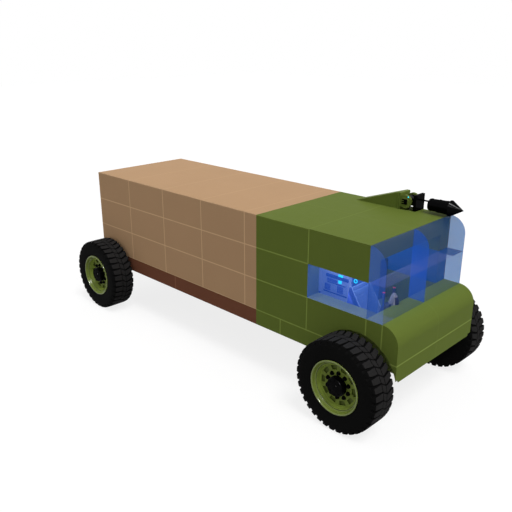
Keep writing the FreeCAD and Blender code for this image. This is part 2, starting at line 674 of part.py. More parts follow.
def box_side():
    """Left wall of the cargo box, with the fixed halves of the rear door's hinges."""
    wall = box(BOX_REAR_X, CAB_REAR_X, BOX_INNER_Y, SIDE_Y, DECK_Z, ROOF_Z - BOX_WALL)
    pieces = [wall]
    for z in hinge_levels():
        pieces.append(rod(HINGE_RADIUS, (HINGE_X, HINGE_Y, z), (HINGE_X, HINGE_Y, z + HINGE_LENGTH)))
        pieces.append(box(HINGE_X, BOX_REAR_X, HINGE_Y, HINGE_Y + HINGE_RADIUS, z, z + HINGE_LENGTH))
        pieces.append(rod(HINGE_PIN_RADIUS, (HINGE_X, HINGE_Y, z),
                          (HINGE_X, HINGE_Y, z + HINGE_LENGTH * 2)))
    return fuse(pieces)


def box_front():
    """Front wall of the cargo box with the passage to the cab."""
    wall = box(CAB_REAR_X - BOX_WALL, CAB_REAR_X, -BOX_INNER_Y, BOX_INNER_Y, DECK_Z, ROOF_Z - BOX_WALL)
    return wall.cut(passage(CAB_REAR_X - BOX_WALL - CUT, CAB_REAR_X + CUT, LOAD_Z))


def box_roof():
    return box(BOX_REAR_X, CAB_REAR_X, -SIDE_Y, SIDE_Y, ROOF_Z - BOX_WALL, ROOF_Z)


def rear_door():
    """Left rear door: framed panel, hinge straps, lock rod with guides and handle."""
    low = LOAD_Z + DOOR_GAP
    high = ROOF_Z - BOX_WALL - DOOR_GAP
    inner = DOOR_GAP / 2
    outer = BOX_INNER_Y - DOOR_GAP
    back = BOX_REAR_X + DOOR_RIB
    panel = box(back, BOX_REAR_X + DOOR_THICK, inner, outer, low, high)
    frame = box(BOX_REAR_X, back, inner, outer, low, high).cut(
        box(BOX_REAR_X - CUT, back, inner + DOOR_RIB_WIDTH, outer - DOOR_RIB_WIDTH,
            low + DOOR_RIB_WIDTH, high - DOOR_RIB_WIDTH))
    middle = (low + high) / 2
    belt = box(BOX_REAR_X, back, inner, outer, middle - DOOR_RIB_WIDTH / 2, middle + DOOR_RIB_WIDTH / 2)
    pieces = [panel, frame, belt]
    for z in hinge_levels():
        start = z + HINGE_LENGTH + RUNNING * 2
        end = z + HINGE_LENGTH * 2
        knuckle_shape = rod(HINGE_RADIUS, (HINGE_X, HINGE_Y, start), (HINGE_X, HINGE_Y, end))
        strap = box(BOX_REAR_X - HINGE_PLATE, BOX_REAR_X, outer - HINGE_LENGTH * 2, outer, start, end)
        link = box(HINGE_X, BOX_REAR_X - HINGE_STANDOFF, outer - HINGE_PLATE, HINGE_Y, start, end)
        hole = rod(HINGE_PIN_RADIUS + RUNNING, (HINGE_X, HINGE_Y, start - CUT), (HINGE_X, HINGE_Y, end + CUT))
        pieces.append(fuse([knuckle_shape, strap, link]).cut(hole))
    rod_x = BOX_REAR_X - LOCK_ROD_RADIUS * 2
    rod_y = inner + LOCK_ROD_INSET
    pieces.append(rod(LOCK_ROD_RADIUS, (rod_x, rod_y, low), (rod_x, rod_y, high)))
    for z in (low + LOCK_GUIDE, middle, high - LOCK_GUIDE):
        pieces.append(box(rod_x - LOCK_ROD_RADIUS / 2, BOX_REAR_X, rod_y - LOCK_GUIDE / 2,
                          rod_y + LOCK_GUIDE / 2, z - LOCK_GUIDE / 2, z + LOCK_GUIDE / 2))
    grip_z = low + LOCK_HANDLE_HEIGHT
    pieces.append(box(rod_x - LOCK_ROD_RADIUS / 2, rod_x + LOCK_ROD_RADIUS / 2, rod_y, rod_y + LOCK_HANDLE,
                      grip_z - LOCK_ROD_RADIUS, grip_z + LOCK_ROD_RADIUS))
    return fuse(pieces)


# Cab

def wheel_arch():
    """Left arch pocket: a drum about the front axle, kept behind the nose's skin,
    and a small notch at the nose's lower corner where the tyre stands ahead of it."""
    radius = TYRE_RADIUS - ARCH_TUCK
    drum = rod(radius, (FRONT_X, ARCH_INNER, WHEEL_Z), (FRONT_X, SIDE_Y + CUT, WHEEL_Z))
    ahead = NOSE_X - NOSE_SKIN
    skin = box(ahead, FRONT_X + radius + CUT, ARCH_INNER - CUT, NOTCH_INNER, 0, ROOF_Z)
    above = box(ahead, FRONT_X + radius + CUT, ARCH_INNER - CUT, SIDE_Y + CUT, NOTCH_TOP, ROOF_Z)
    return drum.cut(skin).cut(above)


def cab_side():
    """Left cab wall with the window notch and the wheel arch."""
    wall = prism_y([
        (CAB_REAR_X, SILL_Z), (CAB_FRONT_X, SILL_Z), (CAB_FRONT_X, WAIST_Z), (WINDOW_X, WAIST_Z),
        (WINDOW_X, LINTEL_Z), (CAB_FRONT_X, LINTEL_Z), (CAB_FRONT_X, CEILING_Z),
        (CAB_REAR_X, CEILING_Z)], INNER_Y, SIDE_Y)
    return wall.cut(wheel_arch())


def nose_outline(inset):
    """Nose in side view, set in from the outside by a wall."""
    front = NOSE_X - inset
    top = WAIST_Z - inset
    radius = NOSE_ROUND - inset
    return front, top, radius


def cab_nose():
    """Nose with a rounded upper edge, hollow towards the cab above its floor and open
    below between the frame rails."""
    front, top, radius = nose_outline(0)
    solid = prism_y([
        (CAB_FRONT_X, SILL_Z), (front, SILL_Z), (front, top - radius),
        (((front - radius) + radius * math.cos(math.pi / 4), (top - radius) + radius * math.cos(math.pi / 4)),
         (front - radius, top)), (CAB_FRONT_X, top)], -SIDE_Y, SIDE_Y)
    wall = RAIL_FRONT_SETBACK
    front, top, radius = nose_outline(wall)
    hollow = prism_y([
        (CAB_FRONT_X - CUT, FLOOR_Z), (front, FLOOR_Z), (front, top - radius),
        (((front - radius) + radius * math.cos(math.pi / 4), (top - radius) + radius * math.cos(math.pi / 4)),
         (front - radius, top)), (CAB_FRONT_X - CUT, top)], -INNER_Y, INNER_Y)
    under = box(CAB_FRONT_X - CUT, NOSE_X - wall, -INNER_Y, INNER_Y, SILL_Z - CUT, DECK_Z)
    arch = wheel_arch()
    return solid.cut(hollow).cut(under).cut(arch).cut(mirrored(arch))


def cab_floor():
    return box(CAB_REAR_X, CAB_FRONT_X, -INNER_Y, INNER_Y, DECK_Z, FLOOR_Z)


def cab_rear():
    """Bulkhead behind the cab with the passage to the cargo box."""
    wall = box(CAB_REAR_X, CAB_REAR_X + CAB_WALL, -INNER_Y, INNER_Y, FLOOR_Z, CEILING_Z)
    return wall.cut(passage(CAB_REAR_X - CUT, CAB_REAR_X + CAB_WALL + CUT, FLOOR_Z - CUT))


def cab_roof():
    return box(CAB_REAR_X, CAB_FRONT_X, -SIDE_Y, SIDE_Y, CEILING_Z, ROOF_Z)


def side_glass():
    return box(WINDOW_X, CAB_FRONT_X, INNER_Y, SIDE_Y, WAIST_Z, LINTEL_Z)


def windscreen_lower():
    """Two glass blocks side by side on the nose."""
    front = CAB_FRONT_X + GLASS_BLOCK
    left = box(CAB_FRONT_X, front, 0, SIDE_Y, WAIST_Z, LINTEL_Z)
    return Part.makeCompound([left, mirrored(left)])


def windscreen_upper():
    """Two glass blocks below the roof line with a rounded upper edge."""
    front = CAB_FRONT_X + GLASS_BLOCK
    centre_x = front - GLASS_ROUND
    centre_z = ROOF_Z - GLASS_ROUND
    left = prism_y([
        (CAB_FRONT_X, LINTEL_Z), (CAB_FRONT_X, ROOF_Z), (centre_x, ROOF_Z),
        quarter(centre_x, centre_z, GLASS_ROUND), (front, LINTEL_Z)], 0, SIDE_Y)
    return Part.makeCompound([left, mirrored(left)])


# Cab interior

def seat_shell():
    """Driver's seat shell: base, pan and a back that leans, with side wings."""
    right = SEAT_Y - SEAT_WIDTH / 2
    left = SEAT_Y + SEAT_WIDTH / 2
    pan = FLOOR_Z + SEAT_BASE
    back = SEAT_BACK_X - SEAT_LEAN
    profile = prism_y([
        (SEAT_BACK_X - SEAT_SHELL * 2, FLOOR_Z), (SEAT_FRONT_X - SEAT_BASE, FLOOR_Z),
        (SEAT_FRONT_X - SEAT_BASE, pan), (SEAT_FRONT_X, pan), (SEAT_FRONT_X, pan + SEAT_SHELL),
        (SEAT_BACK_X, pan + SEAT_SHELL), (back, SEAT_TOP_Z - SEAT_SHELL),
        ((back - SEAT_SHELL / 2, SEAT_TOP_Z), (back - SEAT_SHELL, SEAT_TOP_Z - SEAT_SHELL))],
        right, left)
    wing_top = SEAT_TOP_Z - SEAT_WIDTH / 2
    wing = prism_y([
        (SEAT_BACK_X, pan + SEAT_SHELL), (SEAT_FRONT_X, pan + SEAT_SHELL),
        (SEAT_FRONT_X - SEAT_BASE, pan + BOLSTER + SEAT_SHELL),
        (SEAT_BACK_X + BOLSTER * 2, pan + BOLSTER + CUSHION),
        (SEAT_BACK_X + BOLSTER - SEAT_LEAN, wing_top), (back, SEAT_TOP_Z - SEAT_SHELL)],
        right, right + CUSHION_MARGIN)
    other = wing.copy()
    other.translate(Vector(0, SEAT_WIDTH - CUSHION_MARGIN, 0))
    return fuse([profile, wing, other])


def seat_cushions():
    """Seat and back cushions inside the shell."""
    pan = FLOOR_Z + SEAT_BASE + SEAT_SHELL
    right = SEAT_Y - SEAT_WIDTH / 2 + CUSHION_MARGIN + SOFT_GAP
    left = SEAT_Y + SEAT_WIDTH / 2 - CUSHION_MARGIN - SOFT_GAP
    rise = SEAT_TOP_Z - SEAT_SHELL - pan
    def face_x(z):
        return SEAT_BACK_X - SEAT_LEAN * (z - pan) / rise
    low = pan + SOFT_GAP
    split = pan + CUSHION + SOFT_GAP * 2
    top = SEAT_TOP_Z - CUSHION
    seat = prism_y([(face_x(low) + SOFT_GAP, low), (SEAT_FRONT_X - SOFT_GAP, low),
                    (SEAT_FRONT_X - CUSHION / 2, pan + CUSHION),
                    (face_x(pan + CUSHION) + SOFT_GAP, pan + CUSHION)], right, left)
    back = prism_y([(face_x(split) + SOFT_GAP, split), (face_x(split) + CUSHION, split),
                    (face_x(top) + CUSHION / 2, top), (face_x(top) + SOFT_GAP, top)], right, left)
    return Part.makeCompound([seat, back])


def console():
    """Control pod ahead of the seat with its two levers."""
    foot = CONSOLE_FOOT
    top_z = FLOOR_Z + CONSOLE_HEIGHT
    pod = prism_x([(SEAT_Y - foot, FLOOR_Z), (SEAT_Y + foot, FLOOR_Z),
                   (SEAT_Y + LEVER_SPREAD + LEVER_GRIP_RADIUS, top_z - CONSOLE_TOP),
                   ((SEAT_Y, top_z), (SEAT_Y - LEVER_SPREAD - LEVER_GRIP_RADIUS, top_z - CONSOLE_TOP))],
                  CONSOLE_X - CONSOLE_DEPTH / 2, CONSOLE_X + CONSOLE_DEPTH / 2)
    pieces = [pod]
    for side in (-1, 1):
        y = SEAT_Y + side * LEVER_SPREAD
        pieces.append(rod(LEVER_RADIUS, (CONSOLE_X, y, top_z - CONSOLE_TOP * 2),
                          (CONSOLE_X, y, LEVER_TOP_Z - LEVER_GRIP)))
        pieces.append(cone(LEVER_GRIP_RADIUS, LEVER_RADIUS, (CONSOLE_X, y, LEVER_TOP_Z - LEVER_GRIP),
                           (CONSOLE_X, y, LEVER_TOP_Z)))
    return fuse(pieces)


def cabinet():
    """Equipment cabinet behind the seat, with a recessed face to the right."""
    right = CABINET_RIGHT_Y
    left = INNER_Y
    front = CABINET_X + CABINET_LENGTH
    top = FLOOR_Z + CABINET_HEIGHT
    body = prism_x([(right, FLOOR_Z), (left, FLOOR_Z), (left, top), (right + CABINET_CHAMFER, top),
                    (right, top - CABINET_CHAMFER)], CABINET_X, front)
    face = box(CABINET_X + CABINET_FRAME, front - CABINET_FRAME, right - CUT, right + CABINET_RECESS,
               FLOOR_Z + CABINET_FRAME, top - CABINET_CHAMFER - CABINET_FRAME)
    return body.cut(face)


# Roof arm

def roof_wedge():
    """Fairing that rises along the left edge of the roof to the hinge unit."""
    front = WEDGE_REAR_X + WEDGE_LENGTH
    return prism_y([(WEDGE_REAR_X, ROOF_Z), (front, ROOF_Z), (front, ROOF_Z + HINGE_BLOCK)],
                   SIDE_Y - MAST_WIDTH, SIDE_Y)


def mast_cheek(radius, toward_x, y0, y1):
    """A round cheek about the hinge pin with a web towards its plate."""
    disc = rod(radius, (MAST_HINGE_X, y0, MAST_Z), (MAST_HINGE_X, y1, MAST_Z))
    low, high = min(MAST_HINGE_X, toward_x), max(MAST_HINGE_X, toward_x)
    web = box(low, high, y0, y1, MAST_Z - radius * math.cos(math.pi / 4), MAST_Z + radius * math.cos(math.pi / 4))
    return fuse([disc, web])


def hinge_base():
    """Fixed half of the hinge unit: base plate, two outer cheeks, motor and pin."""
    rear = WEDGE_REAR_X + WEDGE_LENGTH
    plate_front = rear + HINGE_BASE_PLATE
    right = SIDE_Y - MAST_WIDTH
    pieces = [box(rear, plate_front, right, SIDE_Y, ROOF_Z, ROOF_Z + HINGE_BLOCK)]
    for y0, y1 in ((right, right + CHEEK), (SIDE_Y - CHEEK, SIDE_Y)):
        pieces.append(mast_cheek(CHEEK_RADIUS, plate_front, y0, y1))
    inner = CHEEK + CHEEK_GAP + YOKE_CHEEK + CHEEK_GAP
    pieces.append(mast_cheek(MOTOR_RADIUS, plate_front, right + inner, SIDE_Y - inner))
    pieces.append(rod(MAST_PIN_RADIUS, (MAST_HINGE_X, right, MAST_Z), (MAST_HINGE_X, SIDE_Y, MAST_Z)))
    return fuse(pieces)


def arm_yoke():
    """Moving half of the hinge unit: two inner cheeks joined by the front plate."""
    right = SIDE_Y - MAST_WIDTH
    offset = CHEEK + CHEEK_GAP
    pieces = [box(MAST_PLATE_X, MAST_PLATE_X + MAST_PLATE, MAST_Y - MAST_PLATE_HALF,
                  MAST_Y + MAST_PLATE_HALF, MAST_Z - MAST_PLATE_HALF, MAST_Z + MAST_PLATE_HALF)]
    for y0, y1 in ((right + offset, right + offset + YOKE_CHEEK),
                   (SIDE_Y - offset - YOKE_CHEEK, SIDE_Y - offset)):
        pieces.append(mast_cheek(YOKE_CHEEK_RADIUS, MAST_PLATE_X, y0, y1))
    bore = rod(MAST_PIN_RADIUS + RUNNING, (MAST_HINGE_X, right, MAST_Z), (MAST_HINGE_X, SIDE_Y, MAST_Z))
    return fuse(pieces).cut(bore)


def arm_tool():
    """Thin rod, round drum and pointed head at the arm's end."""
    start = MAST_PLATE_X + MAST_PLATE
    drum_front = MAST_DRUM_X + MAST_DRUM_LENGTH
    rim_front = drum_front + MAST_CONE_RIM
    rod_z = MAST_Z + MAST_ROD_RISE
    return fuse([
        rod(MAST_ROD_RADIUS, (start, MAST_Y, rod_z), (MAST_DRUM_X, MAST_Y, rod_z)),
        cone(MAST_DRUM_RADIUS, MAST_DRUM_FRONT_RADIUS, (MAST_DRUM_X, MAST_Y, MAST_Z),
             (drum_front, MAST_Y, MAST_Z)),
        rod(MAST_CONE_RADIUS, (drum_front, MAST_Y, MAST_Z), (rim_front, MAST_Y, MAST_Z)),
        cone(MAST_CONE_RADIUS, MAST_TIP_RADIUS, (rim_front, MAST_Y, MAST_Z),
             (rim_front + MAST_CONE_LENGTH, MAST_Y, MAST_Z))])


place_wheels()
export_pair(knuckle(), "knuckle")
export(front_axle(), "front_axle")
export(rear_axle(), "rear_axle")
front_spring = spring(FRONT_X, FRONT_SPRING_HALF, FRONT_SPRING_CAMBER)
rear_spring = spring(REAR_X, REAR_SPRING_HALF, REAR_SPRING_CAMBER)
export(Part.makeCompound([front_spring, mirrored(front_spring), rear_spring, mirrored(rear_spring)]),
       "leaf_springs")
export_pair(rail(), "frame_rail")
export(cross_members(), "cross_members")
export_pair(sill(), "sill")
export(powertrain(), "powertrain")
export(propshafts(), "propshafts")
export(box_floor(), "box_floor")
export_pair(box_side(), "box_side")
export(box_front(), "box_front_wall")
export(box_roof(), "box_roof")
export_pair(rear_door(), "rear_door")
export(cab_floor(), "cab_floor")
export_pair(cab_side(), "cab_side")
export(cab_rear(), "cab_rear_wall")
export(cab_roof(), "cab_roof")
export(cab_nose(), "cab_nose")
export_pair(side_glass(), "side_glass")
export(windscreen_lower(), "windscreen_lower")
export(windscreen_upper(), "windscreen_upper")
export(seat_shell(), "seat_shell")
export(seat_cushions(), "seat_cushions")
export(console(), "control_console")
export(cabinet(), "equipment_cabinet")
export(roof_wedge(), "roof_wedge")
export(hinge_base(), "roof_hinge_base")
export(arm_yoke(), "arm_yoke")
export(arm_tool(), "arm_tool")
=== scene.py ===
import math

import bpy
import numpy as np
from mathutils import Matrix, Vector


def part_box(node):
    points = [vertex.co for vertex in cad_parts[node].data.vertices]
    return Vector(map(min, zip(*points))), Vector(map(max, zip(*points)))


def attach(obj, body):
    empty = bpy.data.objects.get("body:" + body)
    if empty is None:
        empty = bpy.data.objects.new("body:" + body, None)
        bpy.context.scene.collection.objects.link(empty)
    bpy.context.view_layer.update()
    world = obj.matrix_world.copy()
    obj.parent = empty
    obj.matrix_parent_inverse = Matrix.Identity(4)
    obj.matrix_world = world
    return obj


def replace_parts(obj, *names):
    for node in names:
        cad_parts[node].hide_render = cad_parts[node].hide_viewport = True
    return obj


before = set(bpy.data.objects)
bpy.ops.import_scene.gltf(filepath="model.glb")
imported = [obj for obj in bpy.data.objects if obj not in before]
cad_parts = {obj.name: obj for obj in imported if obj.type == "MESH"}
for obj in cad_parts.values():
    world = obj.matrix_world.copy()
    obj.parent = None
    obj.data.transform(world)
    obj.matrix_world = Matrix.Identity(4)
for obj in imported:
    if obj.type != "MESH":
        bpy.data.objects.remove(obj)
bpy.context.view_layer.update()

# Looks of a 4x4 military cargo truck. Lengths are in metres, +X forward, +Y left, +Z up.

DECK = 1.03                 # top of the sill
ROW = 0.50                  # height of one row of body panels
PANEL = 1.0                 # length of one panel of the cargo box
ROOF = 2.53
LINTEL = 2.03               # top of the side windows and of the lower row of glass
WINDOW_BACK = 2.0           # rear edge of the side windows
CAB_FRONT = 3.0             # rear face of the windscreen blocks
WALL_INNER = 0.745          # 5 mm inside the inner faces of the cab's walls
BODY_SIDE = 0.99            # 10 mm inside the body's outer sides
FACING = 0.7                # a face looks along an axis from this share of its normal

AXLE_X = 2.875
WHEEL_Y = 1.25
WHEEL_Z = 0.655
LUGS = 36
HUB_RADIUS = 0.138
DISC_FACE = 0.110           # how far the disc's face is outside the wheel's middle plane
CORNERS = (
    ("front", "left", 1, 1),
    ("front", "right", 1, -1),
    ("rear", "left", -1, 1),
    ("rear", "right", -1, -1))


# Shader formulas

class Value:
    """A shader socket with arithmetic: a formula on such values adds its Math nodes."""

    def __init__(self, finish, socket):
        self.finish = finish
        self.socket = socket

    def math(self, operation, *others, clamp=False):
        sockets = {place: value for place, value in enumerate((self, *others))}
        return self.finish.node("ShaderNodeMath", {"operation": operation, "use_clamp": clamp}, sockets)

    def __add__(self, other):
        return self.math("ADD", other)

    def __mul__(self, other):
        return self.math("MULTIPLY", other)

    def __sub__(self, other):
        return self.math("SUBTRACT", other)

    def __rsub__(self, other):
        return self.math("MULTIPLY_ADD", -1.0, other)

    def __truediv__(self, other):
        return self.math("DIVIDE", other)

    __radd__ = __add__
    __rmul__ = __mul__

    def size(self):
        return self.math("ABSOLUTE")

    def above(self, level):
        return self.math("GREATER_THAN", level)

    def below(self, level):
        return self.math("LESS_THAN", level)

    def within(self, low, high):
        return self.above(low) * self.below(high)

    def most(self, other):
        return self.math("MAXIMUM", other)

    def clamped(self):
        return self.math("MULTIPLY", 1.0, clamp=True)


class Finish:
    """The procedural nodes of one material, or of the sky."""

    def __init__(self, name, kind="materials"):
        self.owner = getattr(bpy.data, kind).new(name)
        self.owner.use_nodes = True
        self.tree = self.owner.node_tree
        self.tree.nodes.clear()
        self.shared = {}
        if kind == "materials":
            self.owner.cycles.emission_sampling = "NONE"

    def node(self, kind, settings=None, sockets=None, out=0):
        """Adds a node of that kind, makes its settings first, then fills its sockets."""
        made = self.tree.nodes.new(kind)
        for key, value in (settings or {}).items():
            setattr(made, key, value)
        for key, value in (sockets or {}).items():
            if isinstance(value, Value):
                self.tree.links.new(value.socket, made.inputs[key])
            else:
                made.inputs[key].default_value = value
        return Value(self, made.outputs[out])

    def outputs(self, value):
        """All outputs of the node that a value comes from."""
        return [Value(self, socket) for socket in value.socket.node.outputs]

    def axes(self, which):
        """The three parts of the object's own coordinates, or of its normal."""
        if which not in self.shared:
            vector = self.node("ShaderNodeTexCoord", out={"place": "Object", "facing": "Normal"}[which])
            self.shared[which] = self.outputs(self.node("ShaderNodeSeparateXYZ", None, {0: vector}))
            self.shared[which + " vector"] = vector
        return self.shared[which]

    def place(self):
        self.axes("place")
        return self.shared["place vector"]

    def noise(self, scale, detail=3.0, roughness=0.55):
        """Noise about zero, from -0.5 to 0.5."""
        sockets = {"Vector": self.place(), "Scale": scale, "Detail": detail, "Roughness": roughness}
        return self.node("ShaderNodeTexNoise", None, sockets) - 0.5

    def cells(self):
        """Fine leather-like cells of moulded plastic."""
        return self.node("ShaderNodeTexVoronoi", None, {"Vector": self.place(), "Scale": 420.0})

    def mix(self, share, first, second):
        """Colour that goes from the first to the second with the share."""
        return self.node("ShaderNodeMix", {"data_type": "RGBA"}, {0: share, 6: first, 7: second}, out=2)

    def shade(self, tint, gain):
        """A colour times a number that varies over the surface."""
        grey = self.node("ShaderNodeCombineColor", None, {0: gain, 1: gain, 2: gain})
        settings = {"data_type": "RGBA", "blend_type": "MULTIPLY"}
        return self.node("ShaderNodeMix", settings, {0: 1.0, 6: tint, 7: grey}, out=2)

    def bump(self, height, depth, strength):
        """A bumpy normal: height times depth in metres, as strong as the strength says."""
        sockets = {"Height": height, "Distance": depth, "Strength": strength}
        return self.node("ShaderNodeBump", None, sockets)

    def end(self, shader, kind="ShaderNodeOutputMaterial"):
        """Links the last shader to the output and returns the material or the sky."""
        output = self.tree.nodes.new(kind)
        self.tree.links.new(shader.socket, output.inputs[0])
        return self.owner

    def close(self, **sockets):
        """Ends the material in one surface shader. base_color fills the socket Base Color, and so on."""
        named = {}
        for key, value in sockets.items():
            named[key.replace("_", " ").title().replace("Ior", "IOR")] = value
        return self.end(self.node("ShaderNodeBsdfPrincipled", None, named))


def colour(red, green, blue):
    """A colour as screens count it, 0 to 255, to the scene's linear numbers."""
    parts = [(part / 255 / 12.92) if part < 11 else ((part / 255 + 0.055) / 1.055) ** 2.4
             for part in (red, green, blue)]
    return (*parts, 1.0)


def strip(distance, half, soft):
    """One inside a line's half width, falling to zero over its soft edge."""
    return (1.0 - (distance - half) / soft).clamped()


SEAM_HALF = 0.005
SEAM_SOFT = 0.007
ARCH_RADIUS = 0.648         # just outside the wall of a front wheel's arch
ARCH_DEPTH = (0.780, 0.995)
NOSE_FACE = 3.489           # just behind the nose's front face


def line(axis, at):
    """One seam across an axis."""
    return strip((axis - at).size(), SEAM_HALF, SEAM_SOFT)


def every(axis, at, spacing):
    """Lines that repeat along an axis."""
    return strip((axis - at).math("PINGPONG", spacing / 2), SEAM_HALF, SEAM_SOFT)


def round_axle(finish):
    """Height above the line of the nearer axle, and the distance from that line."""
    x, _, z = finish.axes("place")
    along = x.size() - AXLE_X
    up = z - WHEEL_Z
    return up, (along * along + up * up).math("SQRT")


def arch_painted_light(finish):
    """One on the walls inside a wheel arch, above the axle and behind the nose's front face, where paler
    paint is painted light that lifts the arch's shade.
    """
    x, y, _ = finish.axes("place")
    up, radius = round_axle(finish)
    inside = radius.below(ARCH_RADIUS) * up.above(0.0)
    return inside * x.size().below(NOSE_FACE) * y.size().within(*ARCH_DEPTH)


def painted(name, body, seam_colour, seams):
    """Matt vehicle paint: drifting tone, fine grain, paler sealed seams, and painted light inside the wheel
    arches, a paler paint that lifts their shade.
    """
    finish = Finish(name)
    tone = finish.noise(0.9, 4.0) * 0.10 + finish.noise(38.0, 2.0) * 0.05 + 1.0
    base = finish.shade(body, tone)
    # painted light: paler paint on the walls inside the wheel arches stands in for light in their shade
    base = finish.mix(arch_painted_light(finish) * 0.6, base, colour(168, 184, 104))
    mask = seams(finish)
    grain = finish.noise(420.0, 2.0)
    return finish.close(
        base_color=finish.mix(mask, base, seam_colour),
        roughness=finish.noise(6.0, 3.0) * 0.12 + 0.55,
        specular_ior_level=0.02,
        normal=finish.bump(grain * 0.25 - mask, 0.0012, 0.35))


def cab_seams(finish):
    """Seams of the cab and nose panels: upright and level ones on the sides, fainter ones over the roof
    and down the middle, and one across the nose. None crosses the side windows."""
    x, y, z = finish.axes("place")
    nx, ny, nz = finish.axes("facing")
    side = ny.size().above(FACING) * y.size().above(BODY_SIDE)
    window = z.within(DECK + ROW, LINTEL)
    upright = line(x, WINDOW_BACK) * z.above(DECK) * (1.0 - window)
    upright = upright.most(line(x, 1.5) * z.below(DECK))
    upright = upright.most(line(x, CAB_FRONT).most(line(x, 3.25)) * z.below(DECK + ROW))
    level = every(z, DECK, ROW) * (1.0 - x.above(WINDOW_BACK) * z.above(DECK + ROW / 2))
    across = line(x, WINDOW_BACK) * nz.above(FACING) * 0.22
    middle = line(y, 0.0) * ny.size().below(0.5) * 0.10
    front = line(z, DECK) * nx.above(FACING)
    return (side * upright.most(level)).most(across).most(middle).most(front) * 0.66


def box_seams(finish):
    """Seams of the cargo box panels, one metre apart and half a metre high, and fainter over the roof."""
    x, y, z = finish.axes("place")
    ny, nz = finish.axes("facing")[1:]
    upright = every(x, -0.25, PANEL)
    side = ny.size().above(FACING) * y.size().above(BODY_SIDE) * upright.most(every(z, DECK, ROW))
    return side.most(upright * nz.above(FACING) * z.above(ROOF - 0.01) * 0.25) * 0.75


def sill_seams(finish):
    """One seam across each sill."""
    x = finish.axes("place")[0]
    return line(x, -1.0) * 0.6


GREEN = colour(100, 115, 49)
GREEN_SEAM = colour(152, 170, 84)
TAN = colour(187, 151, 115)
TAN_SEAM = colour(226, 190, 148)
BROWN = colour(116, 73, 54)
BROWN_SEAM = colour(158, 110, 84)
BLACK = colour(18, 18, 19)


def black_steel():
    """Satin black steel with a cast grain and paler rubbed spots."""
    finish = Finish("black_steel")
    spots = finish.noise(9.0, 6.0, 0.7)
    grain = finish.noise(160.0, 3.0)
    base = finish.mix((spots * 3.0 - 0.35).clamped() * 0.5, BLACK, colour(34, 33, 32))
    return finish.close(
        base_color=base,
        roughness=spots * 0.25 + 0.42,
        specular_ior_level=0.2,
        normal=finish.bump(grain, 0.0010, 0.4))


def gloss_black():
    """Smooth black enamel for hub, nuts and the arm's head."""
    finish = Finish("gloss_black")
    scuff = finish.noise(30.0, 4.0)
    return finish.close(
        base_color=finish.shade(colour(4, 4, 5), scuff * 0.6 + 1.0),
        roughness=scuff * 0.10 + 0.30,
        specular_ior_level=0.0,
        coat_weight=0.06,
        coat_roughness=0.14,
        normal=finish.bump(finish.noise(220.0, 2.0), 0.0004, 0.3))


def rubber():
    """Dull black rubber: dusty grain, fine mould rings on the walls and a greyer, worn top on the lugs."""
    finish = Finish("tyre_rubber")
    radius = round_axle(finish)[1]
    spacing = 0.024
    ring = strip(((radius - 0.470).math("PINGPONG", spacing) - spacing / 2).size(), 0.001, 0.002)
    wall = radius.within(0.40, 0.585)
    dust = (finish.noise(3.0, 5.0, 0.6) * 1.8 + 0.3).clamped()
    worn = radius.above(0.650)
    base = finish.mix(dust * 0.3, colour(9, 9, 9), colour(20, 20, 19))
    base = finish.mix(worn * 0.75, base, colour(43, 42, 42))
    height = finish.noise(300.0, 2.0) * 0.3 + ring * wall
    return finish.close(
        base_color=base,
        roughness=finish.noise(12.0, 3.0) * 0.15 + 0.74,
        specular_ior_level=0.02,
        normal=finish.bump(height, 0.0015, 0.5))


def wheel_paint():
    """Rim and disc in green, with painted shade in the disc's pockets and in the groove round the barrel,
    and painted light that makes the barrel's slope paler. The hub and the drum behind the disc are black."""
    finish = Finish("wheel_paint")
    y = finish.axes("place")[1]
    radius = round_axle(finish)[1]
    out = y.size() - WHEEL_Y
    outer_half = out.above(0.05)
    hub = radius.below(HUB_RADIUS + 0.0005) * out.above(DISC_FACE - 0.03)
    drum = out.below(0.07) * radius.below(0.20)
    # painted shade: a dark ring in the groove round the barrel
    groove = strip((radius - 0.3275).size(), 0.0026, 0.002) * outer_half
    # painted shade: darker floors in the disc's pockets
    pocket_painted_shade = radius.within(0.220, 0.287) * out.within(0.08, DISC_FACE - 0.004)
    # painted light: the barrel's slope is made paler against its shade
    barrel_painted_light = radius.within(0.289, 0.322) * outer_half
    tone = finish.noise(4.0, 4.0) * 0.10 + 1.0
    base = finish.shade(colour(120, 136, 58), tone + barrel_painted_light * 0.34)
    base = finish.mix(pocket_painted_shade * 0.50, base, colour(42, 48, 22))
    base = finish.mix(groove * 0.9, base, colour(22, 26, 12))
    base = finish.mix(hub.most(drum), base, colour(4, 4, 5))
    return finish.close(
        base_color=base,
        roughness=finish.noise(20.0, 3.0) * 0.10 + 0.30,
        specular_ior_level=0.03,
        coat_weight=0.06,
        coat_roughness=0.22,
        normal=finish.bump(finish.noise(260.0, 2.0) * 0.2 - groove, 0.0012, 0.4))


def bead_paint():
    """Rounded rim edges, in the wheel's green under a thick clear coat."""
    finish = Finish("bead_paint")
    return finish.close(
        base_color=finish.shade(colour(118, 133, 60), finish.noise(4.0, 4.0) * 0.10 + 1.0),
        roughness=finish.noise(20.0, 3.0) * 0.10 + 0.35,
        specular_ior_level=0.06,
        coat_weight=0.8,
        coat_roughness=0.12)


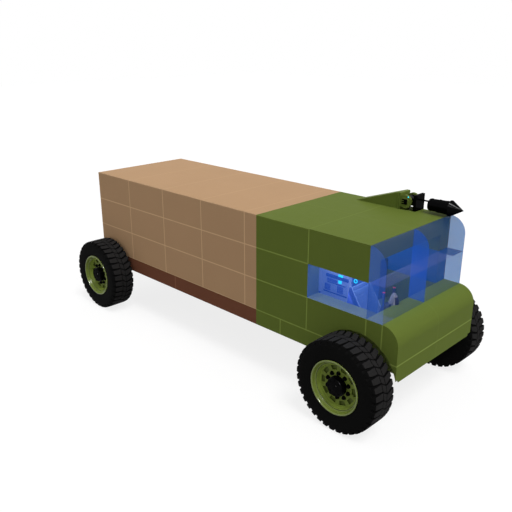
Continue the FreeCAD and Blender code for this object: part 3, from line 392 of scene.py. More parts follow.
def block_glass():
    """Thick blue glass, seen as tinted faces that add up where they overlap. Faces at the sides, between
    two blocks, on the nose and at the far side have tints of their own, painted light and shade for how
    light falls on each, and the glass glows as painted light. Most light passes through, so its shadow is
    pale."""
    finish = Finish("blue_glass")
    x, y, z = finish.axes("place")
    ny, nz = finish.axes("facing")[1:]
    side = ny.size().above(FACING)
    level = nz.size().above(FACING)
    far = y.above(0.70)
    screen = x.above(CAB_FRONT)
    joint = level * screen * (z - LINTEL).size().below(0.01)
    foot = level * z.below(DECK + ROW + 0.01)
    pane = far * x.below(CAB_FRONT)
    tint, cover = colour(24, 56, 106), 0.33
    # painted light and shade: each kind of face gets a tint and cover of its own for how light falls on it
    for mask, own_tint, own_cover in (
            (side, colour(50, 98, 203), 0.33),
            (side * y.size().below(0.01), colour(10, 80, 184), 0.41),
            (pane, colour(0, 72, 140), 0.91),
            (pane * y.above(BODY_SIDE), colour(0, 40, 84), 0.88),
            (side * far * screen, colour(0, 120, 184), 0.74),
            (joint, colour(98, 104, 162), 0.13),
            (joint * far, colour(10, 56, 112), 0.60),
            (foot, colour(0, 26, 30), 0.05),
            (foot * y.below(-WALL_INNER), colour(120, 120, 190), 0.10)):
        tint = finish.mix(mask, tint, own_tint)
        cover = mask * own_cover + (1.0 - mask) * cover
    drift = finish.noise(1.5, 2.0)
    tint = finish.shade(tint, drift * 0.06 + 1.0)
    shadow = finish.node("ShaderNodeLightPath", out="Is Shadow Ray")
    return finish.close(
        base_color=tint,
        roughness=drift * 0.04 + 0.22,
        specular_ior_level=0.06,
        # painted light: the glass glows with its own tint, though it is no lamp
        emission_color=tint,
        emission_strength=0.55,
        alpha=(1.0 - shadow * 0.85) * cover)


def seat_plastic():
    """Moulded seat body in pale plastic. Painted shade makes its right side violet, and a navy band along
    the slope is a painted shadow.
    """
    finish = Finish("seat_plastic")
    x, y, z = finish.axes("place")
    ny = finish.axes("facing")[1]
    flank_painted_shade = ny.below(-FACING) * y.below(SEAT_Y - SEAT_HALF + 0.004)
    behind_edge = (WING_TOP[1] - z) * 0.635 + WING_TOP[0] - x
    painted_shadow_band = behind_edge.below(0.080) * flank_painted_shade
    grain = finish.cells()
    base = finish.shade(colour(122, 141, 168), finish.noise(5.0, 3.0) * 0.08 + 1.0)
    # painted shade: the seat's right side is violet
    base = finish.mix(flank_painted_shade, base, colour(70, 82, 158))
    return finish.close(
        # painted shadow: a navy band in the gap between the side wall and the cushion
        base_color=finish.mix(painted_shadow_band, base, colour(2, 6, 48)),
        roughness=finish.noise(9.0, 2.0) * 0.12 + 0.50,
        specular_ior_level=0.2,
        normal=finish.bump(grain * 0.4 - painted_shadow_band, 0.0008, 0.4))


def console_plastic():
    """Moulded plastic: pale on the cabinet, dark green on its top and front end, navy on the console."""
    finish = Finish("console_plastic")
    x, y, z = finish.axes("place")
    nx, _, nz = finish.axes("facing")
    end = nx.above(FACING).most(nz.above(FACING)) * x.below(2.25) * y.above(-0.17)
    console = z.above(1.20) * x.above(2.8)
    grain = finish.cells()
    base = finish.shade(colour(176, 180, 192), finish.noise(5.0, 3.0) * 0.08 + 1.0)
    base = finish.mix(end, base, colour(50, 64, 66))
    return finish.close(
        base_color=finish.mix(console, base, colour(10, 14, 60)),
        roughness=finish.noise(9.0, 2.0) * 0.12 + 0.46,
        specular_ior_level=0.3,
        normal=finish.bump(grain, 0.0006, 0.35))


def cover_plastic():
    """Pale cover over the levers' foot with a navy inset on its left."""
    finish = Finish("cover_plastic")
    z = finish.axes("place")[2]
    nx, ny, _ = finish.axes("facing")
    turned = nx * 0.5 + ny * 0.85
    inset = turned.within(-0.25, 0.93) * z.within(1.46, 1.63)
    return finish.close(
        base_color=finish.mix(inset, colour(150, 146, 156), colour(0, 0, 52)),
        roughness=finish.noise(12.0, 2.0) * 0.12 + 0.42,
        specular_ior_level=0.25,
        normal=finish.bump(finish.noise(300.0, 2.0) * 0.3 - inset, 0.0010, 0.4))


def seat_cloth():
    """Woven pale blue-grey cloth."""
    finish = Finish("seat_cloth")
    x, y, z = finish.axes("place")
    thread = 0.0016
    warp = (y / thread).math("PINGPONG", 1.0)
    weft = ((x + z) / thread).math("PINGPONG", 1.0)
    weave = warp.most(weft)
    tone = finish.noise(7.0, 4.0) * 0.2 + weave * 0.2 + 0.85
    return finish.close(
        base_color=finish.shade(colour(116, 140, 168), tone),
        roughness=0.85 + finish.noise(20.0, 2.0) * 0.1,
        specular_ior_level=0.15,
        sheen_weight=0.25,
        normal=finish.bump(weave, 0.0006, 0.6))


def plain(name, tint, rough, glow=0.0, specular=0.35):
    """A small part's finish with a slight grain."""
    finish = Finish(name)
    toned = finish.shade(tint, finish.noise(25.0, 3.0) * 0.16 + 1.0)
    return finish.close(
        base_color=toned,
        roughness=finish.noise(40.0, 2.0) * 0.1 + rough,
        specular_ior_level=specular,
        emission_color=toned,
        emission_strength=glow,
        normal=finish.bump(finish.noise(300.0, 2.0), 0.0004, 0.3))


def hinge_paint():
    """Hinge unit in cab green with its motor and pin in black."""
    finish = Finish("hinge_paint")
    x, y, _ = finish.axes("place")
    motor = (y - ARM_Y).size().below(0.0425) * x.above(2.2955)
    base = finish.shade(GREEN, finish.noise(6.0, 4.0) * 0.1 + 1.0)
    return finish.close(
        base_color=finish.mix(motor, base, BLACK),
        roughness=finish.noise(9.0, 3.0) * 0.12 + 0.5,
        specular_ior_level=0.08,
        normal=finish.bump(finish.noise(300.0, 2.0), 0.0006, 0.3))


DOOR_SKIN = -3.2506          # just behind the doors' outer face: what stands further out is ironwork


def door_paint():
    """Tan doors with their straps, lock rods and handles in black."""
    finish = Finish("door_paint")
    x = finish.axes("place")[0]
    base = finish.shade(TAN, finish.noise(1.2, 4.0) * 0.1 + finish.noise(38.0, 2.0) * 0.05 + 1.0)
    return finish.close(
        base_color=finish.mix(x.below(DOOR_SKIN), base, colour(26, 26, 27)),
        roughness=finish.noise(6.0, 3.0) * 0.12 + 0.5,
        specular_ior_level=0.08,
        normal=finish.bump(finish.noise(420.0, 2.0), 0.0005, 0.3))


# Surfaces

def shell_faces(rings, around, closed):
    """Quads between neighbouring rings of a grid, ring by ring, as index arrays."""
    last = rings if closed else rings - 1
    ring = np.arange(last)[:, None]
    step = np.arange(around)[None, :]
    after = (ring + 1) % rings
    turn = (step + 1) % around
    return np.stack([ring * around + step, ring * around + turn,
                     after * around + turn, after * around + step], axis=-1).reshape(-1, 4)


def enclosed(points, faces):
    """Six times the signed volume within a shell: the sum of the triple products of its triangles."""
    corners = points[faces]
    total = 0.0
    for second in range(1, faces.shape[1] - 1):
        crossed = np.cross(corners[:, second], corners[:, second + 1])
        total += float((corners[:, 0] * crossed).sum())
    return total


def shell(grid, closed=False):
    """One closed shell from a grid of rings. Open ends get a fan of triangles to the ring's mean point."""
    rings, around, _ = grid.shape
    points = grid.reshape(-1, 3)
    quads = shell_faces(rings, around, closed)
    fans = np.zeros((0, 3), int)
    if not closed:
        step = np.arange(around)
        turn = (step + 1) % around
        first = np.full(around, len(points))
        final = first + 1
        end = (rings - 1) * around
        points = np.vstack([points, grid[0].mean(axis=0), grid[-1].mean(axis=0)])
        fans = np.vstack([np.stack([first, turn, step], axis=-1),
                          np.stack([final, end + step, end + turn], axis=-1)])
    middle = points.mean(axis=0)
    size = enclosed(points - middle, quads)
    size += enclosed(points - middle, fans) if len(fans) else 0.0
    if size < 0:
        quads = quads[:, ::-1]
        fans = fans[:, ::-1]
    return points, quads, fans


def block(outline, low, high):
    """Block with an outline in the XZ plane, from low to high along y."""
    flat = np.array([(x, 0.0, z) for x, z in outline])
    return shell(np.stack([flat + (0, low, 0), flat + (0, high, 0)]))


def piece(name, shells, material, body, sharp=35.0):
    """Makes one object of several shells, with its finish, body and material slot."""
    points, faces, start = [], [], 0
    for shell_points, quads, fans in shells:
        points.append(shell_points)
        faces += (quads + start).tolist()
        faces += (fans + start).tolist()
        start += len(shell_points)
    mesh = bpy.data.meshes.new(name)
    mesh.from_pydata(np.vstack(points), [], faces)
    mesh.polygons.foreach_set("use_smooth", np.ones(len(faces), bool))
    mesh.set_sharp_from_angle(angle=math.radians(sharp))
    mesh.materials.append(material)
    made = bpy.data.objects.new(name, mesh)
    bpy.context.scene.collection.objects.link(made)
    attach(made, body)
    return made


def lathe(profile, around=48, axis="y"):
    """Turned surface: each (radius, along) of the profile swept round an axis,
    point = (radius cos a, along, radius sin a)."""
    radius, along = np.array(profile, float).T
    angle = np.linspace(0, 2 * np.pi, around, endpoint=False)
    first = radius[:, None] * np.cos(angle)
    second = radius[:, None] * np.sin(angle)
    third = np.broadcast_to(along[:, None], first.shape)
    order = {"x": (third, first, second), "y": (first, third, second), "z": (first, second, third)}[axis]
    return np.stack(order, axis=-1)


def slab(low, high, corner, edge, axis="y", steps=5):
    """Block with rounded corners and edges: rounded rectangles, corner centre + radius times
    (cos a, sin a), stacked along an axis and set in by a quarter round at both ends."""
    low, high = np.array(low, float), np.array(high, float)
    order = {"x": [1, 2, 0], "y": [0, 2, 1], "z": [0, 1, 2]}[axis]
    middle = ((low + high) / 2)[order]
    half = ((high - low) / 2)[order]
    arc = np.linspace(0, np.pi / 2, steps)
    quarter = np.arange(4)[:, None] * np.pi / 2
    angle = (arc[None, :] + quarter).ravel()
    sign_first = np.repeat([1, -1, -1, 1], steps)
    sign_second = np.repeat([1, 1, -1, -1], steps)
    inset = np.concatenate([edge * (1 - np.sin(arc)), edge * (1 - np.cos(arc))])
    depth = np.concatenate([-half[2] + edge * (1 - np.cos(arc)), half[2] - edge * (1 - np.sin(arc))])
    bend = np.maximum(corner - inset, 1e-4)[:, None]
    first = middle[0] + sign_first * (half[0] - corner) + bend * np.cos(angle)
    second = middle[1] + sign_second * (half[1] - corner) + bend * np.sin(angle)
    third = np.broadcast_to((middle[2] + depth)[:, None], first.shape)
    stacked = np.stack([first, second, third], axis=-1)
    return stacked[:, :, np.argsort(order)]


def bolt(head, height, stud=0.0, around=24):
    """Hexagon nut whose rings go from six flats, radius = flat / cos(a folded to a sixth), to round."""
    angle = np.linspace(0, 2 * np.pi, around, endpoint=False)
    folded = (angle + np.pi / 6) % (np.pi / 3) - np.pi / 6
    flats = 1 / np.cos(folded)
    tall = height + stud
    table = np.array([
        (1.30, 0.0, 0.0), (1.30, 0.0, 0.12), (1.18, 0.0, 0.20), (1.0, 1.0, 0.20), (1.0, 1.0, 0.82),
        (0.96, 0.3, 0.96), (0.84, 0.0, 1.0), (0.50, 0.0, 1.0), (0.50, 0.0, tall / height),
        (0.40, 0.0, tall / height + 0.06)])
    radius = head / 2 * table[:, 0, None] * (1 + table[:, 1, None] * (flats - 1))
    along = np.broadcast_to(table[:, 2, None] * height, radius.shape)
    return np.stack([radius * np.cos(angle), along, radius * np.sin(angle)], axis=-1)


def ringed(grid, count, radius, phase=0.0):
    """Copies of a grid at equal angles on a circle round the Y axis."""
    turns = phase + np.arange(count) * 2 * np.pi / count
    shift = np.stack([radius * np.cos(turns), np.zeros(count), radius * np.sin(turns)], axis=-1)
    return [grid + offset for offset in shift]


def moved(grids, shift):
    """Copies of grids, each point moved by the same amount."""
    return [grid + np.array(shift, float) for grid in grids]


def tube(path, radius, around=12):
    """Round bar along a path: circles in the plane across the path's direction at each point,
    point = path + radius (cos a side + sin a other)."""
    path = np.array(path, float)
    along = np.gradient(path, axis=0)
    along /= np.linalg.norm(along, axis=1)[:, None]
    side = np.cross(along, [0.13, 0.37, 0.92])
    side /= np.linalg.norm(side, axis=1)[:, None]
    other = np.cross(along, side)
    angle = np.linspace(0, 2 * np.pi, around, endpoint=False)
    radius = np.broadcast_to(np.asarray(radius, float), (len(path),))[:, None, None]
    return path[:, None] + radius * (np.cos(angle)[None, :, None] * side[:, None]
                                     + np.sin(angle)[None, :, None] * other[:, None])


def closed_tube(path, radius, around=12):
    """Round bar along a path whose last point comes before its first."""
    path = np.array(path, float)
    return tube(np.vstack([path[-1], path, path[0]]), radius, around)[1:-1]


# Tyres

GROOVE_FOOT = 0.10          # half width of a cross groove's floor, as a share of the pitch
GROOVE_TOP = 0.15           # and at the tread's surface
CENTRE_HALF = 0.045         # half width of the middle strip, on both sides of which runs a ring groove
CENTRE_SKEW = 0.25          # how far each half's lugs are turned from the middle, as a share of the pitch


def hoop(radius, along, thick, around=96):
    """Round wire bent into a circle about the wheel's axis,
    point = (R cos t, along + thick sin w, R sin t) with R = radius + thick cos w."""
    turn = np.linspace(0, 2 * np.pi, around, endpoint=False)[:, None]
    wind = np.linspace(0, 2 * np.pi, 12, endpoint=False)[None, :]
    reach = radius + thick * np.cos(wind)
    across = along + thick * np.sin(wind) + turn * 0
    return np.stack([reach * np.cos(turn), across, reach * np.sin(turn)], axis=-1)


def tyre_grid():
    """Tread and walls of one tyre as rings round the axle. A point is
    (r cos t, y, r sin t) with r and y from the cross-section, less the groove's depth along its
    normal, and t counts lugs plus skew(y), so that cross grooves slant and the halves are staggered.
    Grooves widen towards both shoulders."""
    tread = [
        # y, radius, cross groove depth, normal across, zigzag share
        (0.0000, 0.6550, 0.007, 0, 0), (0.0180, 0.6550, 0.007, 0, 0.3), (0.0330, 0.6548, 0.007, 0, 1),
        (0.0350, 0.6400, 0, 0, 1), (0.0430, 0.6400, 0, 0, 1), (0.0450, 0.6548, 0.016, 0, 1),
        (0.0620, 0.6548, 0.018, 0, 0.4), (0.0900, 0.6546, 0.021, 0, 0), (0.1250, 0.6543, 0.024, 0, 0),
        (0.1600, 0.6538, 0.024, 0, 0), (0.1820, 0.6525, 0.024, 0.15, 0), (0.1930, 0.6500, 0.024, 0.4, 0),
        (0.1990, 0.6440, 0.023, 0.7, 0), (0.2045, 0.6280, 0.019, 0.85, 0), (0.2090, 0.6120, 0.014, 0.95, 0),
        (0.2125, 0.6000, 0.008, 1, 0)]
    wall = [
        (0.2150, 0.5880), (0.2150, 0.5845), (0.2175, 0.5780), (0.2192, 0.5500), (0.2198, 0.5200),
        (0.2195, 0.4900), (0.2180, 0.4600), (0.2150, 0.4350), (0.2125, 0.4180), (0.2105, 0.4120),
        (0.2040, 0.3950), (0.1990, 0.3845), (0.1990, 0.3600), (0.1960, 0.3503), (0.1000, 0.3503)]
    rows = np.array(tread + [(y, radius, 0, 1, 0) for y, radius in wall])
    mirrored = rows[1:] * np.array([-1, 1, 1, 1, 1])
    y, radius, cross, normal, zigzag = np.vstack([mirrored[::-1], rows]).T
    inner = y < 0
    reach = np.clip((np.abs(y) - CENTRE_HALF) / 0.15, 0, 1)
    skew = np.where(inner, 0.46 * reach ** 1.2 - CENTRE_SKEW, CENTRE_SKEW + 0.10 * reach ** 2)
    skew = np.where(np.abs(y) < CENTRE_HALF, y / CENTRE_HALF * CENTRE_SKEW, skew)
    stretch = 1.08 - 0.22 * np.where(inner, reach, reach ** 2)
    phases = np.array([0.0, GROOVE_FOOT, GROOVE_TOP, GROOVE_TOP + 0.015, 0.33, 0.50, 0.67,
                       0.985 - GROOVE_TOP, 1 - GROOVE_TOP, 1 - GROOVE_FOOT])
    cut = np.array([1.0, 1.0, 0.06, 0.0, 0.0, 0.0, 0.0, 0.0, 0.06, 1.0])
    wave = 1 - 4 * np.abs(phases - 0.5)
    lug = np.repeat(np.arange(LUGS) + 0.5, len(phases))[:, None]
    place = np.tile(phases - 0.5, LUGS)[:, None]
    depth = np.tile(cut, LUGS)[:, None] * cross
    zigzags = np.tile(wave, LUGS)[:, None] * zigzag * 0.004
    r = radius - depth * np.sqrt(1 - normal ** 2)
    across = y - np.sign(y) * depth * normal + zigzags
    angle = (lug + place * stretch + skew) * 2 * np.pi / LUGS - np.pi / 2
    return np.stack([r * np.cos(angle), across, r * np.sin(angle)], axis=-1)


def hub_cap():
    """Stepped turned cap on the hub's face, as (radius, along) in the wheel's own frame."""
    return lathe([
        (0.119, 0.1900), (0.1205, 0.1925), (0.1205, 0.1965), (0.118, 0.1990), (0.080, 0.1990),
        (0.078, 0.1975), (0.076, 0.1990), (0.058, 0.2000), (0.055, 0.2050), (0.050, 0.2095),
        (0.042, 0.2125), (0.028, 0.2145), (0.012, 0.2150), (0.002, 0.2150)], around=64)


def place_wheel_pieces(finishes):
    """Treaded tyre, nuts, hub cap, rounded rim edges and valve of the four wheels, mirrored for the right
    side. All are worked out in the wheel's own frame, with its axis along y and its outside at +y."""
    tread = tyre_grid()
    nut = bolt(0.047, 0.028, 0.012)
    small = bolt(0.017, 0.008)
    nuts = moved(ringed(nut, 10, 0.176, np.pi / 10), (0, DISC_FACE, 0))
    cap = [hub_cap()] + moved(ringed(small, 8, 0.099), (0, 0.1985, 0))
    cap_edge = [hoop(0.1180, 0.1965, 0.0040)]
    edges = [hoop(0.3725, 0.2085, 0.0110), hoop(0.3370, 0.1650, 0.0075)]
    valve = [tube([(0.315, 0.150, 0.0), (0.318, 0.165, 0.0), (0.314, 0.180, 0.0), (0.306, 0.192, 0.0)],
                  [0.005, 0.005, 0.004, 0.005])]
    for axle, hand, along, side in CORNERS:
        body = "wheel_" + axle + "_" + hand
        centre = np.array([along * AXLE_X, side * WHEEL_Y, WHEEL_Z])
        flip = np.array([1, side, 1])

        def put(grids, closed=False):
            return [shell(grid * flip + centre, closed) for grid in grids]

        tyre = piece("tread_tyre_" + axle + "_" + hand, put([tread], True), finishes["rubber"], body,
                     28.0)
        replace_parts(tyre, "tyre_" + axle + "_" + hand)
        piece("wheel_nuts_" + axle + "_" + hand, put(nuts), finishes["gloss"], body)
        piece("hub_cap_" + axle + "_" + hand, put(cap) + put(cap_edge, True), finishes["gloss"], body)
        piece("rim_edges_" + axle + "_" + hand, put(edges, True), finishes["bead"], body)
        piece("valve_" + axle + "_" + hand, put(valve), finishes["gloss"], body)


# Cab interior

SEAT_Y = -0.39
SEAT_HALF = 0.22
SIDE_THICK = 0.025          # thickness of the seat's side walls
PAN_Z = 1.16                # top of the seat's pan
PAN_BACK = 2.461            # face of the seat's back
WING_TOP = (2.455, 1.690)   # x and z of the side walls' upper corner
LEVER_X = 2.93
LEVER_OUT = 0.123           # each lever's distance from the seat's middle plane
CABINET_FACE = -0.188       # y of the equipment cabinet's face, which looks to the right
PUFF_PRESSURE = 4.0
PUFF_FRAMES = 20
PUFF_MOST = 0.012           # furthest that a point of a pad is blown out


def plan_and_height(points, frame_of_pad):
    """Parts of each point along a pad's width, length and thickness."""
    origin, across, along, out = frame_of_pad
    rest = points - origin
    return rest @ across, rest @ along, rest @ out


def pad_shape(frame_of_pad, half_across, half_along, thick, crown):
    """Closed pad before it is puffed up. Over u and v from -1 to 1 the plan is a square with its sides
    pulled in, the top is thick + crown (1 - u^2)(1 - v^2), and the edge falls off as the root of
    1 - max(|u|, |v|)^8."""
    origin, across, along, out = frame_of_pad
    count = 57
    grid_u, grid_v = np.meshgrid(np.linspace(-1, 1, count), np.linspace(-1, 1, count), indexing="ij")
    plan_u = grid_u * (1 - 0.035 * (1 - grid_v ** 2) * np.abs(grid_u) ** 3) * half_across
    plan_v = grid_v * (1 - 0.035 * (1 - grid_u ** 2) * np.abs(grid_v) ** 3) * half_along
    edge = np.clip(1 - np.maximum(np.abs(grid_u), np.abs(grid_v)) ** 8, 0, 1) ** 0.5
    top = (thick + crown * (1 - grid_u ** 2) * (1 - grid_v ** 2)) * edge
    bottom = 0.004 - 0.004 * edge

    def lay(height):
        return origin + plan_u[..., None] * across + plan_v[..., None] * along + height[..., None] * out

    points = np.vstack([lay(top).reshape(-1, 3), lay(bottom).reshape(-1, 3)])
    row = np.arange(count - 1)
    first = (row[:, None] * count + row[None, :]).ravel()
    quads = np.stack([first, first + count, first + count + 1, first + 1], axis=-1)
    faces = np.vstack([quads, quads[:, ::-1] + count * count])
    return points, faces[:, ::-1] if enclosed(points - points.mean(axis=0), faces) < 0 else faces


def read_points(mesh):
    flat = np.empty(len(mesh.vertices) * 3)
    mesh.vertices.foreach_get("co", flat)
    return flat.reshape(-1, 3)


def settled(made):
    """Mesh of an object with its modifiers worked in."""
    graph = bpy.context.evaluated_depsgraph_get()
    return bpy.data.meshes.new_from_object(made.evaluated_get(graph))


def puff(made, frame_of_pad, most):
    """Blows the pad up as cloth under air pressure, then holds every point within its most:
    the full amount outwards, a quarter of it sideways, and nothing below the base."""
    start = read_points(made.data)
    cloth = made.modifiers.new("puff", "CLOTH")
    cloth.settings.use_pressure = True
    cloth.settings.uniform_pressure_force = PUFF_PRESSURE
    cloth.settings.effector_weights.gravity = 0.0
    cloth.settings.quality = 4
    cloth.point_cache.frame_end = PUFF_FRAMES
    for moment in range(1, PUFF_FRAMES + 1):
        bpy.context.scene.frame_set(moment)
    shift = read_points(settled(made)) - start
    made.modifiers.remove(cloth)
    bpy.context.scene.frame_set(1)
    length = np.linalg.norm(shift, axis=1)[:, None]
    shift *= np.minimum(1.0, most / np.maximum(length, 1e-9))
    _, across, along, out = frame_of_pad
    side, run, rise = shift @ across, shift @ along, shift @ out
    sideways = side[:, None] * across + run[:, None] * along
    final = start + 0.25 * sideways + np.maximum(rise, 0.0)[:, None] * out
    made.data.vertices.foreach_set("co", final.ravel())


def pad(name, frame_of_pad, half_across, half_along, thick, crown, channels, finishes):
    """Crowned pad: the shape is remeshed evenly, puffed up as cloth and divided once. Then its sewn
    channels, a sum of exp(-(distance / width)^2) over the seams, are pressed in, and its edge gets a
    piping cord."""
    frame_of_pad = tuple(np.array(v, float) for v in frame_of_pad)
    points, faces = pad_shape(frame_of_pad, half_across, half_along, thick, crown)
    mesh = bpy.data.meshes.new(name + "_shape")
    mesh.from_pydata(points, [], faces.tolist())
    made = bpy.data.objects.new(name, mesh)
    bpy.context.scene.collection.objects.link(made)
    even = made.modifiers.new("even", "REMESH")
    even.mode = "VOXEL"
    even.voxel_size = 0.005
    mesh = settled(made)
    made.modifiers.clear()
    made.data = mesh
    puff(made, frame_of_pad, PUFF_MOST)
    soft = made.modifiers.new("soft", "SUBSURF")
    soft.levels = soft.render_levels = 1
    mesh = settled(made)
    made.modifiers.clear()
    made.data = mesh
    points = read_points(mesh)
    width, run, rise = plan_and_height(points, frame_of_pad)
    dips = sum(np.exp(-((run / half_along - place) / 0.028) ** 2) for place in channels)
    dips = dips + 0.8 * np.exp(-((np.abs(width) / half_across - 0.66) / 0.024) ** 2)
    reach = np.clip((rise - 0.5 * thick) / (0.5 * thick), 0, 1)
    points = points - (0.006 * np.minimum(dips, 1.2) * reach)[:, None] * frame_of_pad[3]
    mesh.vertices.foreach_set("co", points.ravel())
    mesh.polygons.foreach_set("use_smooth", np.ones(len(mesh.polygons), bool))
    mesh.materials.clear()
    mesh.materials.append(finishes["cloth"])
    mesh.update()
    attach(made, "truck")

    turn = np.arctan2(run / half_along, width / half_across)
    far = np.hypot(run / half_along, width / half_across)
    bins = np.linspace(-np.pi, np.pi, 73)
    within = [(turn >= low) & (turn < high) for low, high in zip(bins, bins[1:])]
    rim = points[[np.argmax(np.where(sector, far, 0)) for sector in within]]
    rim = (np.roll(rim, 1, 0) + rim + np.roll(rim, -1, 0)) / 3
    cord = closed_tube(rim, 0.0032, 10)
    piece(name + "_piping", [shell(cord, True)], finishes["navy"], "truck", 60.0)
    return made


def place_seat(finishes):
    """Bucket seat: side walls with a rounded rim, back, pan and foot, and the two cushions with sewn
    channels. Outlines are (x, z)."""
    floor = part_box("seat_shell")[0][2]
    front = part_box("seat_shell")[1][0]
    under = PAN_Z - 0.02
    rim = [(front, PAN_Z + 0.08), (2.755, 1.268), (2.690, 1.330), (2.620, 1.430), (2.535, 1.563), WING_TOP]
    outline = [(2.360, under), (front, under)] + rim + [(2.430, 1.692)]
    parts = []
    for side in (-1, 1):
        outer = SEAT_Y + side * SEAT_HALF
        inner = outer - side * SIDE_THICK
        parts.append(block(outline, min(outer, inner), max(outer, inner)))
        middle = (outer + inner) / 2
        path = [(2.435, middle, 1.640), (2.437, middle, 1.685), (2.446, middle, 1.695)]
        path += [(x, middle, z) for x, z in rim[::-1]]
        parts.append(shell(tube(path, 0.0135)))
    low = SEAT_Y - SEAT_HALF + SIDE_THICK + 0.0005
    high = SEAT_Y + SEAT_HALF - SIDE_THICK - 0.0005
    back = [(2.375, under), (2.460, under), (2.460, 1.672), (2.452, 1.684), (2.436, 1.684), (2.430, 1.676)]
    pan = [(PAN_BACK, PAN_Z - 0.03), (front, PAN_Z - 0.03), (front, PAN_Z), (PAN_BACK, PAN_Z)]
    foot = [(2.420, floor), (2.760, floor), (2.730, PAN_Z - 0.031), (2.450, PAN_Z - 0.031)]
    parts += [block(back, low, high), block(pan, low, high), block(foot, low + 0.03, high - 0.03)]
    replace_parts(piece("seat_body", parts, finishes["seat"], "truck"), "seat_shell")
    lying = ((2.655, SEAT_Y, PAN_Z + 0.001), (0, 1, 0), (1, 0, 0), (0, 0, 1))
    upright = ((PAN_BACK, SEAT_Y, 1.440), (0, 1, 0), (0, 0, 1), (1, 0, 0))
    seat = pad("seat_cushion", lying, 0.180, 0.176, 0.040, 0.012, (-0.45, 0.0, 0.45), finishes)
    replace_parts(seat, "seat_cushions")
    pad("back_cushion", upright, 0.180, 0.206, 0.030, 0.010, (-0.5, 0.0, 0.5), finishes)


def place_controls(finishes):
    """Grips with finger ridges, bellows and red tips on the two levers, a domed cover beside them and a
    pad on the pod. Ridges and folds are a cosine added to a radius that tapers upwards."""
    share = np.linspace(0, 1, 15)
    ridges = 0.0225 + 0.0025 * np.cos(share * 8 * np.pi) - 0.004 * share
    grip = [(0.014, 1.648), (0.0215, 1.651), *zip(ridges, 1.654 + share * 0.076), (0.016, 1.734)]
    tip = [(0.0175, 1.7315), (0.0190, 1.7340), (0.0185, 1.7385), (0.0140, 1.7430), (0.0060, 1.7449),
           (0.0010, 1.7450)]
    share = np.linspace(0, 1, 21)
    folds = 0.030 - 0.012 * share + 0.0035 * np.cos(share * 10 * np.pi)
    boot = list(zip(folds, 1.462 + share * 0.075))
    share = np.linspace(0, 1, 25)
    dome = list(zip(0.080 * (1 - share ** 2) ** 0.6 + 0.0005, 1.440 + 0.245 * share))

    def on_levers(profile):
        return [shell(lathe(profile, 28, "z") + np.array([LEVER_X, SEAT_Y + side * LEVER_OUT, 0]))
                for side in (-1, 1)]

    cover = lathe(dome, 48, "z") + np.array([2.966, -0.311, 0])
    piece("lever_cover", [shell(cover)], finishes["cover"], "truck", 60.0)
    piece("lever_grips", on_levers(grip), finishes["navy"], "truck", 50.0)
    piece("lever_boots", on_levers(boot), finishes["rubber_small"], "truck", 60.0)
    piece("lever_tips", on_levers(tip), finishes["red"], "truck")
    inset = slab((2.9735, SEAT_Y - 0.062, 1.22), (2.9785, SEAT_Y + 0.062, 1.42), 0.055, 0.002, "x")
    piece("pod_inset", [shell(inset)], finishes["navy"], "truck")


def on_cabinet(x0, x1, z0, z1, thick, corner, edge, sunk=0.0):
    """Rounded block on the cabinet's face, which may start a little off that face."""
    return slab((x0, CABINET_FACE - thick, z0), (x1, CABINET_FACE - sunk, z1), corner, edge)


def place_cabinet(finishes):
    """Face of the equipment cabinet: bars and a knob, dark units, screens, a lit ring and a pale panel."""
    bars = [on_cabinet(1.695, 2.120, 1.550, 1.600, 0.016, 0.014, 0.004),
            on_cabinet(1.728, 2.065, 1.460, 1.476, 0.013, 0.005, 0.003),
            on_cabinet(1.650, 2.090, 1.300, 1.318, 0.012, 0.006, 0.003),
            on_cabinet(1.572, 1.602, 1.240, 1.270, 0.030, 0.012, 0.005)]
    units = [on_cabinet(1.672, 1.784, 1.332, 1.436, 0.010, 0.012, 0.004),
             on_cabinet(1.906, 2.022, 1.336, 1.448, 0.010, 0.012, 0.004),
             on_cabinet(1.720, 1.905, 1.480, 1.530, 0.010, 0.006, 0.002)]
    screens = [on_cabinet(1.930, 2.012, 1.604, 1.636, 0.019, 0.004, 0.002, 0.001),
               on_cabinet(1.930, 1.990, 1.492, 1.542, 0.0125, 0.006, 0.002, 0.001)]
    panel = [on_cabinet(1.700, 2.095, 1.335, 1.545, 0.007, 0.014, 0.003)]
    foot, bow = CABINET_FACE - 0.008, CABINET_FACE - 0.010
    handles = []
    for x0, x1 in ((1.640, 1.800), (1.900, 2.060)):
        stations = ((x0, CABINET_FACE), (x0, foot), (x0 + 0.006, bow), (x1 - 0.006, bow), (x1, foot),
                    (x1, CABINET_FACE))
        handles.append(tube([(x, y, 1.200) for x, y in stations], 0.0045))
    off = CABINET_FACE - 0.006
    turn = np.linspace(0, 2 * np.pi, 32, endpoint=False)
    circle = 0.026 * np.stack([np.cos(turn), 0 * turn, np.sin(turn)], axis=-1)
    loop = circle + np.array([2.238, off, 1.611])
    stalk = tube([(2.150, off, 1.560), (2.185, off, 1.570), (2.214, off, 1.596)], 0.005)
    piece("dial_ring", [shell(closed_tube(loop, 0.006), True)], finishes["cyan"], "truck")
    piece("dial_stalk", [shell(stalk)], finishes["gloss"], "truck")
    piece("cabinet_bars", [shell(g) for g in bars], finishes["navy"], "truck")
    piece("cabinet_units", [shell(g) for g in units], finishes["violet"], "truck")
    piece("cabinet_screens", [shell(g) for g in screens], finishes["cyan"], "truck")
    piece("cabinet_panel", [shell(g) for g in panel], finishes["pale"], "truck")
    piece("cabinet_handles", [shell(g) for g in handles], finishes["gloss"], "truck")


# Glass blocks

